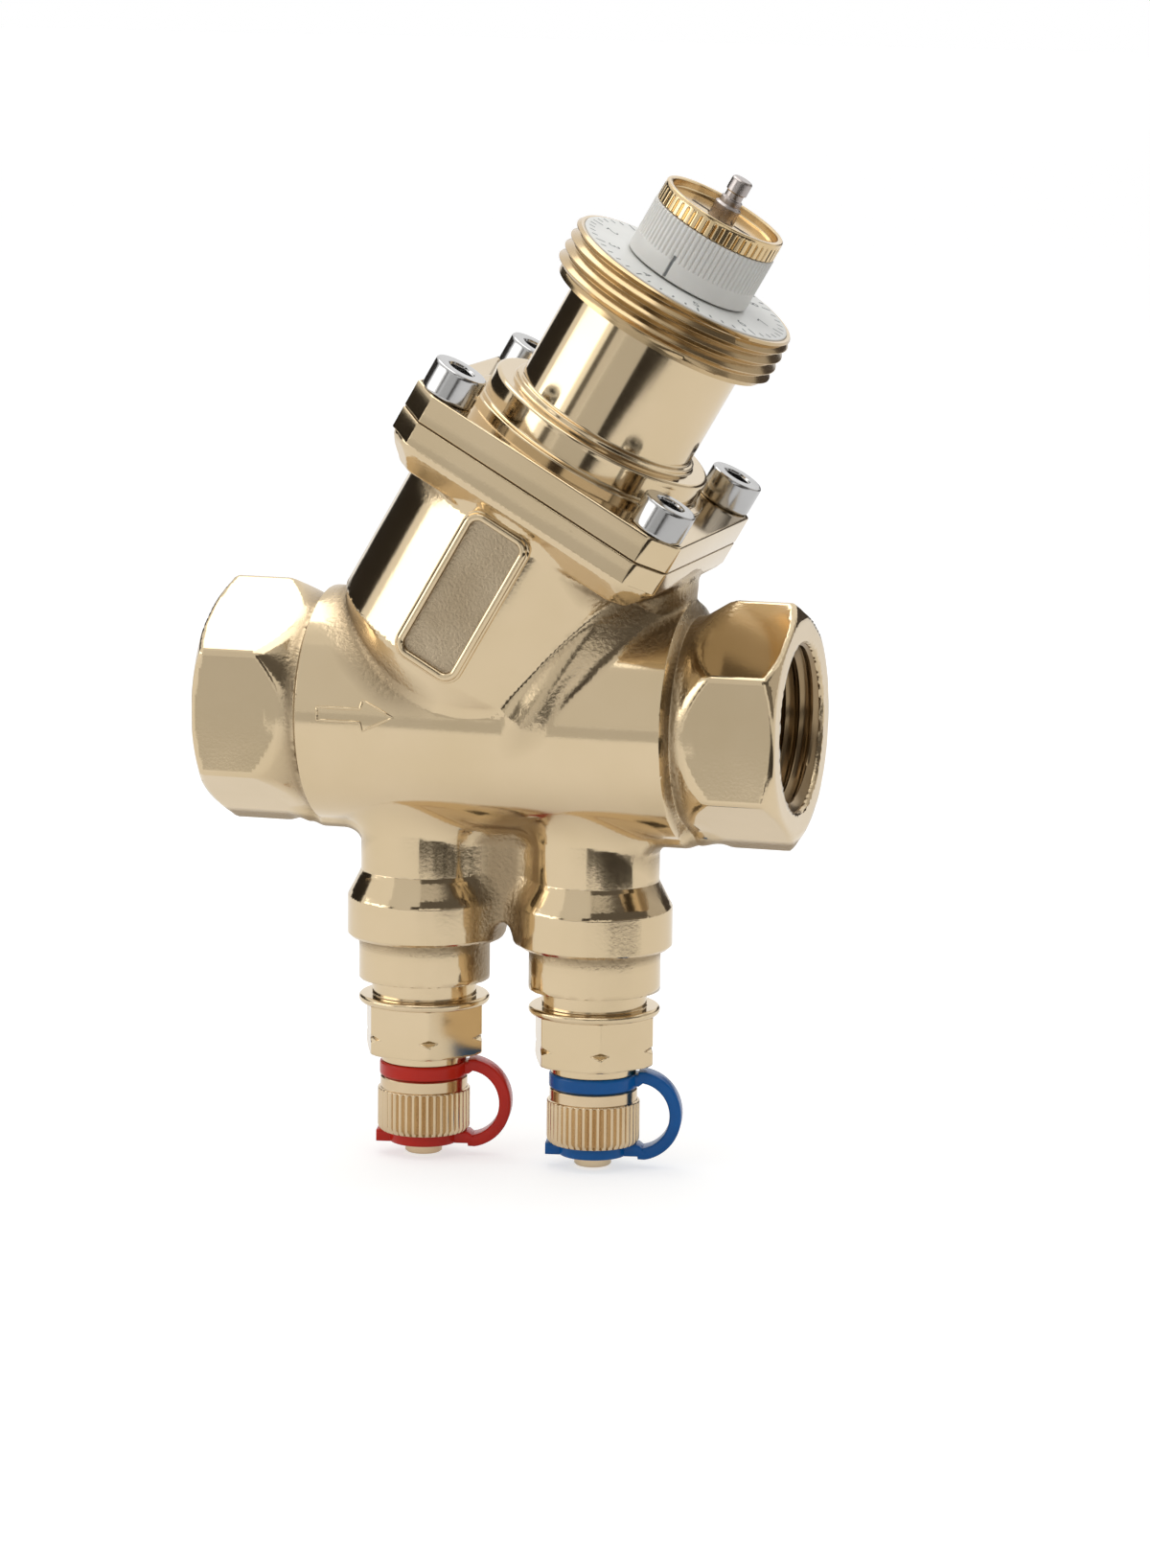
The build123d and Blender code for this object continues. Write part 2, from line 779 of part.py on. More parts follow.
def test_nipple():
    """Nipple with shank, collar, hexagon with marked corners, throat and the spigot for its cap."""
    shank_top = shank_length - boss_end
    throat_low = nipple_hex_low - nipple_throat
    solid = turned(
        (0, shank_top),
        (shank_radius, shank_top),
        (shank_radius, nipple_collar_top),
        (nipple_collar_radius, nipple_collar_top),
        (nipple_collar_radius, nipple_hex_top),
        (nipple_throat_radius, nipple_hex_top),
        (nipple_throat_radius, throat_low),
        (nipple_spigot_radius, throat_low),
        (nipple_spigot_radius, nipple_end),
        (0, nipple_end),
    )
    corner = nipple_hex_flats / 2 / cos(radians(30))
    cone = turned(
        (0, nipple_hex_low),
        (corner - nipple_hex_chamfer, nipple_hex_low),
        (corner, nipple_hex_low + nipple_hex_chamfer / 2),
        (corner, nipple_hex_top),
        (0, nipple_hex_top),
    )
    mark_height = nipple_hex_top - nipple_mark_drop
    marks = turned(
        (nipple_mark_radius, mark_height),
        (corner, mark_height - nipple_mark_half_width),
        (corner, mark_height + nipple_mark_half_width),
    )
    solid += (hex_bar(nipple_hex_flats, nipple_hex_low, nipple_hex_top, nipple_hex_turn) & cone) - marks
    seat_end = shank_top - retainer_length - probe_seal_length
    solid -= rod(nipple_bore, nipple_end, shank_top)
    solid -= rod(probe_seal_radius, seat_end, shank_top)
    groove_height = shank_top - nipple_seal_drop
    groove = seal_groove(shank_radius - nipple_seal_section + seat_gap, shank_radius, nipple_seal_section, groove_height)
    return solid - groove


def nipple_seal():
    """Ring round the nipple's shank, against the boss bore."""
    height = shank_length - boss_end - nipple_seal_drop
    return seal_ring(shank_radius - nipple_seal_section + seat_gap, nipple_seal_section - seat_gap, height)


def probe_seal():
    """Rubber core that closes again when a test probe is drawn out."""
    top = shank_length - boss_end - retainer_length
    return rod(probe_seal_radius, top - probe_seal_length, top)


def seal_retainer():
    """Bush that holds the rubber core in the nipple."""
    top = shank_length - boss_end
    return tube(probe_seal_radius, retainer_bore, top - retainer_length, top)


def test_cap():
    """Knurled cap with a plain band at its mouth and a pin for the strap's eye."""
    plain_low = cap_top - cap_plain_height
    solid = rod(cap_plain_radius, plain_low, cap_top)
    solid += ridged_bar(cap_knurl_radius, cap_end, plain_low, cap_knurl_count, cap_knurl_depth)
    solid += rod(cap_pin_radius, cap_end - cap_pin_height, cap_end)
    return solid - rod(nipple_spigot_radius + run_gap, cap_bore_end, cap_top)


def cap_seal():
    """Flat rubber disc in the cap's bottom."""
    return rod(nipple_spigot_radius, cap_bore_end, cap_bore_end + cap_seal_thickness)


def cap_strap():
    """Strap with a ring round the nipple, a flat loop and an eye on the cap's pin."""
    ring_low = strap_ring_top - strap_ring_height
    eye_top = cap_end - face_gap
    eye_low = eye_top - strap_thickness
    loop_height = (strap_ring_top + eye_low) / 2
    reach = strap_reach - strap_loop_middle
    outer = Ellipse(reach, strap_loop_half_height)
    inner = Ellipse(reach - strap_thickness, strap_loop_half_height - strap_thickness)
    half = Pos(reach, 0) * Rectangle(2 * reach, 4 * reach)
    side = Plane(origin=(strap_loop_middle, strap_width / 2, loop_height), x_dir=(1, 0, 0), z_dir=(0, -1, 0))
    loop = extrude(side * ((outer - inner) & half), strap_width)
    ring = rod(strap_ring_radius, ring_low, strap_ring_top)
    eye = rod(strap_eye_radius, eye_low, eye_top)
    heel = (strap_heel + strap_loop_middle) / 2
    tail = Pos(strap_loop_middle - heel, 0, (eye_low + eye_top) / 2) * Box(2 * heel, strap_width, strap_thickness)
    arm_length = strap_loop_middle + strap_arm_overlap
    arm_height = strap_ring_top - strap_thickness / 2
    arm = Pos(arm_length / 2, 0, arm_height) * Box(arm_length, strap_width, strap_thickness)
    solid = ring + arm + loop + eye + tail
    solid -= rod(nipple_spigot_radius + run_gap, ring_low, strap_ring_top)
    solid -= rod(cap_pin_radius + run_gap, eye_low, eye_top)
    return Rot(0, 0, strap_turn) * solid


os.makedirs("parts", exist_ok=True)
export_step(valve_body(), "parts/valve_body.step")

leaning_pieces = {
    "bonnet": bonnet,
    "bonnet_seal": bonnet_seal,
    "flange_screws": flange_screws,
    "scale_disc": scale_disc,
    "setting_dial": setting_dial,
    "setting_spindle": setting_spindle,
    "spindle_seal": spindle_seal,
    "lock_ring": lock_ring,
    "stem": stem,
    "spring_clip": spring_clip,
    "stem_spring": stem_spring,
    "stem_bush": stem_bush,
    "stem_seal": stem_seal,
    "seat_ring": seat_ring,
    "control_plug": control_plug,
    "plug_seal": plug_seal,
    "regulator_sleeve": regulator_sleeve,
    "regulator_cup": regulator_cup,
    "diaphragm": diaphragm,
    "diaphragm_plate": diaphragm_plate,
    "regulator_spring": regulator_spring,
}
for name, make in leaning_pieces.items():
    export_step(lean_over * make(), f"parts/{name}.step")

test_point_pieces = {
    "test_nipple": test_nipple,
    "nipple_seal": nipple_seal,
    "probe_seal": probe_seal,
    "seal_retainer": seal_retainer,
    "test_cap": test_cap,
    "cap_seal": cap_seal,
    "cap_strap": cap_strap,
}
for number, place in enumerate(test_places, start=1):
    for name, make in test_point_pieces.items():
        export_step(Pos(place, 0, 0) * make(), f"parts/{name}_{number}.step")
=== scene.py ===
import json
from math import atan2, cos, pi, radians, sin

import bmesh
import bpy
import numpy as np
from mathutils import Matrix, Vector


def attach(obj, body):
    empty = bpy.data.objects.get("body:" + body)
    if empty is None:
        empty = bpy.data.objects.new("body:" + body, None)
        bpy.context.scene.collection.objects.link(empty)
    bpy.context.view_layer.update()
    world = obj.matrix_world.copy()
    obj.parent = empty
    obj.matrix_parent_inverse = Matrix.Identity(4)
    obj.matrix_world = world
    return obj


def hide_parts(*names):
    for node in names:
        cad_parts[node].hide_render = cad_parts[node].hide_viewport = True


# Looks of the pressure independent control valve. Sizes are in millimetres in the
# frame of the CAD part and become metres where a mesh is made. Pieces on the bonnet's
# axis are drawn upright and leaned over, as in the CAD part.

MM = 0.001
LENGTH = 75.0
LEAN = radians(30)
CROSSING = 27.9
TEST_PLACES = (26.3, 48.7)
TEST_MIDDLE = sum(TEST_PLACES) / 2
LEANING_AXIS = (sin(LEAN), 0.0, cos(LEAN))
UPRIGHT_AXIS = (0.0, 0.0, 1.0)
UPRIGHT = Matrix.Identity(4)
LEANING = Matrix.Translation((CROSSING * MM, 0, 0)) @ Matrix.Rotation(LEAN, 4, "Y")

HEX_HALF = 13.5
HEX_LENGTH = 12.6
NECK_RADIUS = 13.2
PIPE_RADIUS = 14.8
PORT_ROOT = 10.48
PORT_CREST = 9.32
PORT_PITCH = 1.814
CHAMBER_RADIUS = 10.6
CAVITY_RADIUS = 13.0
DRUM_RADIUS = 14.2
SEAT_RADIUS = 8.82
PARTITION_LOW = 6.6
PARTITION_TOP = 9.6
BARREL_RADIUS = 17.7
FLANGE_HALF = 19.2
FLANGE_CUT = 3.3
JOINT = 34.6
FLANGE_TOP = 38.4
COLLAR_LOW = 56.7
COLLAR_TOP = 63.2
COLLAR_RADIUS = 15.0
COLLAR_PITCH = 1.5
THREAD_FOOT = 14.08
THREAD_TIP = 14.62
DISC_TOP = 63.35
SCREW_AT = 15.3
DIAL_LOW = 63.6
DIAL_RIBS = 65.9
DIAL_TOP = 70.5
NIPPLE_COLLAR_TOP = -36.5
HEX_NIPPLE_TOP = -37.5
HEX_NIPPLE_LOW = -43.8
FRAME_MIDDLE = 18.9
FRAME_SIDE = -0.75
FLOOR_HEIGHT = -57.3


def new_object(name, data):
    holder = bpy.data.objects.new(name, data)
    bpy.context.scene.collection.objects.link(holder)
    return holder


# Materials


def node_tools(tree):
    """Short ways to add nodes with their values to a tree, and to link them."""

    def add(kind, **values):
        node = tree.nodes.new(kind)
        for key, value in values.items():
            if key in node.inputs:
                node.inputs[key].default_value = value
            else:
                setattr(node, key, value)
        return node

    return add, tree.links.new


class Look:
    """Principled material in the object's own coordinates, with rounded edges."""

    def __init__(self, name, edge):
        self.material = bpy.data.materials.new(name)
        self.material.use_nodes = True
        self.add, self.link = node_tools(self.material.node_tree)
        self.shader = self.material.node_tree.nodes["Principled BSDF"]
        self.place = self.add("ShaderNodeTexCoord").outputs["Object"]
        self.normal = self.add("ShaderNodeBevel", samples=4, Radius=edge * MM).outputs["Normal"]

    def noise(self, scale, detail):
        node = self.add("ShaderNodeTexNoise", Scale=scale, Detail=detail)
        self.link(self.place, node.inputs["Vector"])
        return node.outputs["Fac"]

    def rings(self, axis):
        """Noise that changes only along an axis, as turning marks do."""
        along = self.add("ShaderNodeVectorMath", operation="DOT_PRODUCT")
        along.inputs[1].default_value = axis
        self.link(self.place, along.inputs[0])
        node = self.add("ShaderNodeTexNoise", Scale=9000.0, Detail=2.0, noise_dimensions="1D")
        self.link(along.outputs["Value"], node.inputs["W"])
        return node.outputs["Fac"]

    def drift(self, scale, first, second):
        """Slow change between two colours."""
        node = ramp(self.add, 0.3, 0.7, first, second)
        self.link(self.noise(scale, 3.0), node.inputs["Fac"])
        return node.outputs["Color"]

    def spread(self, value, **limits):
        node = self.add("ShaderNodeMapRange")
        for key, limit in limits.items():
            node.inputs[key.replace("_", " ").title()].default_value = limit
        self.link(value, node.inputs["Value"])
        return node.outputs["Result"]

    def bump(self, height, depth, strength=1.0):
        """Relief of some depth in millimetres, on top of what is there."""
        node = self.add("ShaderNodeBump", Distance=depth * MM)
        if isinstance(strength, float):
            node.inputs["Strength"].default_value = strength
        else:
            self.link(strength, node.inputs["Strength"])
        self.link(height, node.inputs["Height"])
        self.link(self.normal, node.inputs["Normal"])
        self.normal = node.outputs["Normal"]

    def finish(self, colour, rough):
        self.link(colour, self.shader.inputs["Base Color"])
        self.link(rough, self.shader.inputs["Roughness"])
        self.link(self.normal, self.shader.inputs["Normal"])
        return self.material


def ramp(add, low, high, first, second):
    node = add("ShaderNodeValToRGB")
    for element, position, colour in zip(node.color_ramp.elements, (low, high), (first, second)):
        element.position = position
        element.color = (*colour, 1)
    return node


def cast_grain_and_recess_shade(look, colour, rough):
    """Painted shade with the casting's grain: browner, darker and rougher where the mesh's own measure says
    that a place lies deep.
    """
    depth = look.add("ShaderNodeAttribute", attribute_name="recess").outputs["Fac"]
    mask = look.spread(depth, from_min=0.06, from_max=0.42)
    weight = look.add("ShaderNodeMath", operation="MULTIPLY")
    weight.inputs[1].default_value = 0.7
    look.link(mask, weight.inputs[0])
    # Dark brown mixed in by depth: painted shade in hollows, together with the casting's own grain.
    grain_and_shade = look.add("ShaderNodeMix", data_type="RGBA")
    grain_and_shade.inputs[7].default_value = (0.23, 0.16, 0.09, 1)
    look.link(weight.outputs["Value"], grain_and_shade.inputs["Factor"])
    look.link(colour, grain_and_shade.inputs[6])
    dull = look.add("ShaderNodeMath", operation="MULTIPLY_ADD")
    dull.inputs[1].default_value = 0.30
    look.link(mask, dull.inputs[0])
    look.link(rough, dull.inputs[2])
    look.bump(look.noise(1900.0, 4.0), 0.15, mask)
    return grain_and_shade.outputs[2], dull.outputs["Value"]


def metal(
    name, light, dark, roughness, edge=0.12, wave=0.0, grain=0.0, recess=False, lines=0.0, axis=LEANING_AXIS
):
    """Polished metal: soft colour drift and uneven polish.

    Wave, grain and lines are the depths of slow waves, of fine grain and of turning marks round the axis.
    """
    look = Look(name, edge)
    look.shader.inputs["Metallic"].default_value = 1.0
    colour = look.drift(90.0, dark, light)
    rough = look.spread(look.noise(260.0, 4.0), to_min=roughness * 0.75, to_max=roughness * 1.3)
    if wave:
        look.bump(look.noise(130.0, 1.0), wave)
    if grain:
        look.bump(look.noise(2600.0, 5.0), grain)
    if lines:
        look.bump(look.rings(axis), lines)
    # Painted shade: darker brown in hollows, with the casting's rough grain.
    if recess:
        colour, rough = cast_grain_and_recess_shade(look, colour, rough)
    return look.finish(colour, rough)


def plastic(name, light, dark, roughness, grain=0.01, scatter=0.0, gloss=0.5):
    """Moulded plastic: slight colour drift and fine grain."""
    look = Look(name, 0.1)
    colour = look.drift(160.0, dark, light)
    fine = look.noise(3000.0, 3.0)
    rough = look.spread(fine, to_min=roughness * 0.85, to_max=roughness * 1.15)
    look.bump(fine, grain)
    look.shader.inputs["Specular IOR Level"].default_value = gloss
    if scatter:
        look.shader.inputs["Subsurface Weight"].default_value = scatter
        look.shader.inputs["Subsurface Scale"].default_value = MM
        look.shader.inputs["Subsurface Radius"].default_value = (1.0, 0.8, 0.6)
    return look.finish(colour, rough)


BRASS = ((0.705, 0.562, 0.368), (0.67, 0.53, 0.336))
GOLD = ((0.77, 0.59, 0.345), (0.69, 0.51, 0.28))
METALS = {
    "cast_brass": (*BRASS, 0.10, {"wave": 0.05, "grain": 0.004, "recess": True}),
    "turned_brass": (*BRASS, 0.10, {"lines": 0.0012}),
    "nipple_brass": (*BRASS, 0.14, {"lines": 0.0015, "axis": UPRIGHT_AXIS}),
    "cap_brass": (
        (0.73, 0.575, 0.38), (0.64, 0.49, 0.31), 0.17, {"edge": 0.06, "lines": 0.0015, "axis": UPRIGHT_AXIS}
    ),
    "ring_brass": (*GOLD, 0.16, {"edge": 0.05, "lines": 0.0012}),
    "inner_brass": (*GOLD, 0.25, {"lines": 0.002}),
    "screw_steel": ((0.56, 0.555, 0.55), (0.47, 0.465, 0.46), 0.16, {"edge": 0.1}),
    "stem_steel": ((0.50, 0.45, 0.43), (0.40, 0.36, 0.34), 0.26, {"edge": 0.06, "lines": 0.003}),
    "spring_steel": ((0.60, 0.60, 0.62), (0.50, 0.50, 0.53), 0.25, {}),
}
PLASTICS = {
    "scale_plastic": ((0.86, 0.86, 0.83), (0.80, 0.80, 0.77), 0.35, {"grain": 0.004}),
    "dial_plastic": ((0.80, 0.785, 0.745), (0.75, 0.735, 0.695), 0.42, {"scatter": 0.15}),
    "bush_plastic": ((0.85, 0.84, 0.80), (0.80, 0.79, 0.75), 0.4, {}),
    "sleeve_plastic": ((0.05, 0.05, 0.055), (0.03, 0.03, 0.035), 0.45, {}),
    "seal_rubber": ((0.03, 0.03, 0.03), (0.02, 0.02, 0.02), 0.6, {}),
    "red_strap": ((0.66, 0.022, 0.008), (0.57, 0.016, 0.006), 0.24, {"scatter": 0.05, "gloss": 0.3}),
    "blue_strap": ((0.0, 0.125, 0.44), (0.0, 0.10, 0.36), 0.24, {"scatter": 0.03, "gloss": 0.3}),
}
MATERIALS = {}
for make, table in ((metal, METALS), (plastic, PLASTICS)):
    for slot, (light, dark, roughness, extras) in table.items():
        MATERIALS[slot] = make(slot, light, dark, roughness, **extras)
FIELD_BRASS = metal("field_brass", (0.52, 0.42, 0.29), (0.40, 0.31, 0.20), 0.40, grain=0.16)
# Darker brass for the threads inside the ports: painted shade of the bores.
PORT_SHADE_BRASS = metal("port_shade_brass", (0.36, 0.26, 0.15), (0.24, 0.17, 0.09), 0.24, edge=0.05)
THREAD_BRASS = metal("thread_brass", (0.62, 0.465, 0.27), (0.53, 0.385, 0.21), 0.2, edge=0.05, lines=0.0015)
PRINT_GREY = plastic("print_grey", (0.22, 0.23, 0.23), (0.17, 0.18, 0.18), 0.5)
SLOT_SHADE = metal("slot_shade", (0.10, 0.07, 0.04), (0.06, 0.045, 0.03), 0.5)


# Meshes


def place_mesh(name, points, faces, spot, slot, body, replaced=(), angle=None, material=None):
    """Mesh from millimetre points, put in the frame, shaded, dressed and tied to its body."""
    mesh = bpy.data.meshes.new(name)
    mesh.from_pydata(np.asarray(points, float) * MM, [], faces)
    work = bmesh.new()
    work.from_mesh(mesh)
    bmesh.ops.remove_doubles(work, verts=work.verts, dist=2e-6)
    bmesh.ops.recalc_face_normals(work, faces=work.faces)
    work.to_mesh(mesh)
    work.free()
    mesh.transform(spot)
    mesh.update()
    mesh.shade_smooth()
    if angle is not None:
        mesh.set_sharp_from_angle(angle=radians(angle))
    return dress(mesh, name, slot, body, replaced, material)


def dress(mesh, name, slot, body, replaced=(), material=None):
    piece = new_object(name, mesh)
    mesh.materials.append(material or MATERIALS[slot])
    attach(piece, body)
    if replaced:
        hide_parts(*replaced)
    return piece


def mesh_of_curve(curve):
    """Mesh of a curve or a text, without its material."""
    holder = new_object("curve_holder", curve)
    bpy.context.view_layer.update()
    mesh = bpy.data.meshes.new_from_object(holder)
    bpy.data.objects.remove(holder)
    mesh.materials.clear()
    return mesh


def grid_faces(rows, cols, round_rows=False, round_cols=False):
    """Quads between the points of a grid stored row by row, which may close on itself."""
    faces = []
    for row in range(rows if round_rows else rows - 1):
        below, above = row * cols, (row + 1) % rows * cols
        for col in range(cols if round_cols else cols - 1):
            side = (col + 1) % cols
            faces.append((below + col, below + side, above + side, above + col))
    return faces


def gathered(parts):
    """One list of points and one of faces from several pairs of them."""
    points, faces = [], []
    for more, sides in parts:
        base = len(points)
        points += [tuple(p) for p in more]
        faces += [tuple(i + base for i in side) for side in sides]
    return points, faces


def softened(corners, size, closed=True, steps=3):
    """Round the corners of an outline of (radius, height) points with small arcs."""
    corners = [np.array(c, float) for c in corners]
    count = len(corners)
    out = []
    for i, corner in enumerate(corners):
        if not closed and i in (0, count - 1):
            out.append(tuple(corner))
            continue
        before = corners[i - 1] - corner
        after = corners[(i + 1) % count] - corner
        a, b = np.linalg.norm(before), np.linalg.norm(after)
        reach = min(size, 0.45 * a, 0.45 * b)
        turn = abs(before[0] * after[1] - before[1] * after[0]) / (a * b)
        if corner[0] < 1e-6 or turn < 0.15 or reach < 0.01:
            out.append(tuple(corner))
            continue
        start = corner + before / a * reach
        end = corner + after / b * reach
        for k in range(steps + 1):
            t = k / steps
            out.append(tuple((1 - t) ** 2 * start + 2 * t * (1 - t) * corner + t**2 * end))
    return out


def guarded(outline, closed, margin=0.05):
    """Extra points near the ends of long lines, so that their faces shade as straight ones."""
    out = []
    count = len(outline)
    for i, corner in enumerate(outline):
        out.append(tuple(corner))
        if i == count - 1 and not closed:
            break
        start, end = np.array(corner, float), np.array(outline[(i + 1) % count], float)
        length = np.linalg.norm(end - start)
        if length > 0.5:
            step = (end - start) / length * margin
            out += [tuple(start + step), tuple(end - step)]
    return out


def lathe(outline, turns, closed=True, shape=None):
    """Points and faces of an outline turned about Z. Shape may change the radius by angle and height."""
    outline = np.array(guarded(outline, closed), float)
    angle = np.arange(turns) * 2 * pi / turns
    radius = np.repeat(outline[:, :1], turns, 1)
    height = np.repeat(outline[:, 1:2], turns, 1)
    if shape is not None:
        radius = shape(radius, height, angle[None, :])
    points = np.stack([radius * np.cos(angle), radius * np.sin(angle), height], -1).reshape(-1, 3)
    return points, grid_faces(len(outline), turns, closed, True)


def turned(name, outline, turns, spot, slot, body, replaced=(), soft=0.0, closed=False, shape=None, angle=35):
    """Piece turned from an outline whose corners may be softened."""
    if soft:
        outline = softened(outline, soft, closed)
    points, faces = lathe(outline, turns, closed, shape)
    place_mesh(name, points, faces, spot, slot, body, replaced, angle)


def ribbed(count, depth, low, high, land, fade, core):
    """Radius change for straight grooves between two heights, outside a core that stays round.

    Land is the share of the round that stays between two grooves.
    """

    def shape(radius, height, angle):
        phase = np.abs((angle * count / (2 * pi)) % 1.0 - 0.5) * 2
        cut = unit((phase - land) / (1 - land))
        ends = unit((height - low) / fade) * unit((high - height) / fade)
        return np.where(radius > core, radius - depth * cut * ends, radius)

    return shape


# Fields: signed distances in millimetres from which the cast and milled shapes are made


def unit(value):
    return np.clip(value, 0, 1)


def rounded_union(a, b, size):
    u = np.maximum(size - a, 0)
    v = np.maximum(size - b, 0)
    return np.maximum(size, np.minimum(a, b)) - np.sqrt(u * u + v * v)


def rounded_cut(a, b, size):
    """What lies in a and in b, with a rounded edge."""
    return -rounded_union(-a, -b, size)


def rounded_all(distances, size):
    """What lies in every one of the distances, with rounded edges between them."""
    total = 0
    most = None
    for d in distances:
        total = total + np.maximum(d + size, 0) ** 2
        most = d if most is None else np.maximum(most, d)
    return np.minimum(most + size, 0) + np.sqrt(total) - size


def outline_field(px, py, corners):
    """Distance of points, given by radius and height, to a closed outline of (radius, height) corners."""
    best = np.full(px.shape, 1e9)
    sign = np.ones(px.shape)
    for i, (ax, ay) in enumerate(corners):
        bx, by = corners[i - 1]
        ex, ey = bx - ax, by - ay
        wx, wy = px - ax, py - ay
        t = unit((wx * ex + wy * ey) / (ex * ex + ey * ey))
        best = np.minimum(best, (wx - ex * t) ** 2 + (wy - ey * t) ** 2)
        above, below = py >= ay, py < by
        side = ex * wy > ey * wx
        flip = (above & below & side) | (~above & ~below & ~side)
        sign = np.where(flip, -sign, sign)
    return sign * np.sqrt(best)


def box_field(x, y, z, centre, half, size):
    return rounded_all([np.abs(v - c) - h for v, c, h in zip((x, y, z), centre, half)], size)


def hexagon_sides(across, along, half):
    """Distances to the three pairs of flats of a hexagon, one pair of them facing across."""
    return [
        np.abs(across) - half,
        np.abs(across * 0.5 + along * cos(pi / 6)) - half,
        np.abs(across * 0.5 - along * cos(pi / 6)) - half,
    ]


def lean_back(x, y, z):
    """Coordinates of the leaning frame."""
    dx = x - CROSSING
    return dx * cos(LEAN) - z * sin(LEAN), y, dx * sin(LEAN) + z * cos(LEAN)


def pipe_field(x, y, z):
    """Both hexagons and the pipe, alike about the middle of the run."""
    u = np.minimum(x, LENGTH - x)
    radius = np.hypot(y, z)
    front = radians(30)
    back = radians(31)
    sides = hexagon_sides(y, z, HEX_HALF)
    sides.append((radius - HEX_HALF) * sin(front) - u * cos(front))
    sides.append((radius - NECK_RADIUS) * cos(back) + (u - HEX_LENGTH) * sin(back))
    hexagon = rounded_cut(rounded_all(sides, 0.45), -u, 0.25)
    near = HEX_LENGTH + 0.7
    outline = [(-40, 10), (NECK_RADIUS, 10), (NECK_RADIUS, near)]
    outline += [(PIPE_RADIUS, near + 0.8), (PIPE_RADIUS, 60), (-40, 60)]
    return rounded_union(hexagon, outline_field(radius, u, outline), 0.5)


BOSS = [(-20, -5), (8.03, -5), (8.03, -20.5), (8.25, -21.0), (9.35, -23.1), (9.7, -23.9)]
BOSS += [(9.7, -28.6), (9.3, -29.0), (8.25, -29.0), (8.25, -34.25), (8.15, -34.35), (-20, -34.35)]


def boss_field(x, y, z):
    first, second = (outline_field(np.hypot(x - place, y), z, BOSS) for place in TEST_PLACES)
    return np.minimum(first, second)


def web_field(x, y, z):
    """Web between the bosses with its arch, and the rib along the pipe's underside."""
    web = box_field(x, y, z, (TEST_MIDDLE, 0, -14.0), (11.0, 3.0, 14.0), 0.8)
    arch = 1.7 - np.hypot(x - TEST_MIDDLE, z + 28.0)
    web = rounded_cut(web, arch, 0.5)
    rib = box_field(x, y, z, (LENGTH / 2, 0, -7.5), (LENGTH / 2 - HEX_LENGTH + 1.5, 3.0, 7.5), 1.0)
    return np.minimum(web, rib)


BARREL_END = JOINT - 0.5
BARREL = [(-30, 3.3), (13.6, 3.3), (14.4, 3.8), (17.35, 8.05), (BARREL_RADIUS, 8.7)]
BARREL += [(BARREL_RADIUS, BARREL_END), (-30, BARREL_END)]


def barrel_field(x, y, z):
    """Round barrel and the drafted square flange at its end."""
    px, py, s = lean_back(x, y, z)
    round_part = outline_field(np.hypot(px, py), s, BARREL)
    skin = 0.03
    side = np.maximum(np.abs(px), np.abs(py)) - FLANGE_HALF + skin
    corner = (np.abs(px) + np.abs(py) - (2 * FLANGE_HALF - FLANGE_CUT)) * cos(pi / 4) + skin
    plan = rounded_all([side, corner], 1.2)
    draft = radians(42)
    fall = (s - (JOINT - 3.4)) * sin(draft)
    plate = rounded_all([plan, plan * cos(draft) - fall, 28.0 - s], 0.35)
    plate = np.maximum(plate, s - JOINT + 0.5)
    return rounded_union(round_part, plate, 0.9)


def hollow_field(x, y, z):
    """Ports, inlet and outlet chambers, the bonnet's cavity and the seat between them."""
    px, py, s = lean_back(x, y, z)
    u = np.minimum(x, LENGTH - x)
    radius = np.hypot(y, z)
    port = outline_field(radius, u, [(-20, -3), (13.9, -3), (10.45, 0.3), (10.45, 14.2), (-20, 14.2)])

    def chamber(start, end, partition):
        return np.maximum(np.maximum(radius - CHAMBER_RADIUS, np.maximum(start - x, x - end)), partition)

    inlet = chamber(12.0, 44.0, s - PARTITION_LOW)
    outlet = chamber(34.0, 63.0, PARTITION_TOP - s)
    turn = np.hypot(px, py)
    steps = [(-20, PARTITION_TOP), (DRUM_RADIUS, PARTITION_TOP), (DRUM_RADIUS, 19.6)]
    steps += [(CAVITY_RADIUS, 19.6), (CAVITY_RADIUS, JOINT + 2), (-20, JOINT + 2)]
    cavity = outline_field(turn, s, steps)
    seat = np.maximum(turn - SEAT_RADIUS, np.abs(s - 8.1) - 2.5)
    return np.minimum(np.minimum(port, np.minimum(inlet, outlet)), np.minimum(cavity, seat))


def body_field(p):
    """The casting. Barrel and pipe meet in a sharp corner that opens to a chamfer towards the outlet."""
    x, y, z = p.T
    web_fillet, boss_fillet, barrel_fillet, chamfer_edge = 2.2, 2.4, 0.7, 0.6
    chamfer_from, chamfer_fade, chamfer = 9.5, 5.0, 3.6
    low = rounded_union(boss_field(x, y, z), web_field(x, y, z), web_fillet)
    body = rounded_union(pipe_field(x, y, z), low, boss_fillet)
    barrel = barrel_field(x, y, z)
    side = unit((lean_back(x, y, z)[0] - chamfer_from) / chamfer_fade)
    side = side * side * (3 - 2 * side)
    blend = (body + barrel - chamfer * side) * cos(pi / 4)
    joined = rounded_union(body, barrel, barrel_fillet)
    body = np.where(side > 0, -rounded_cut(-joined, -blend, chamfer_edge), joined)
    return np.maximum(body, -hollow_field(x, y, z))


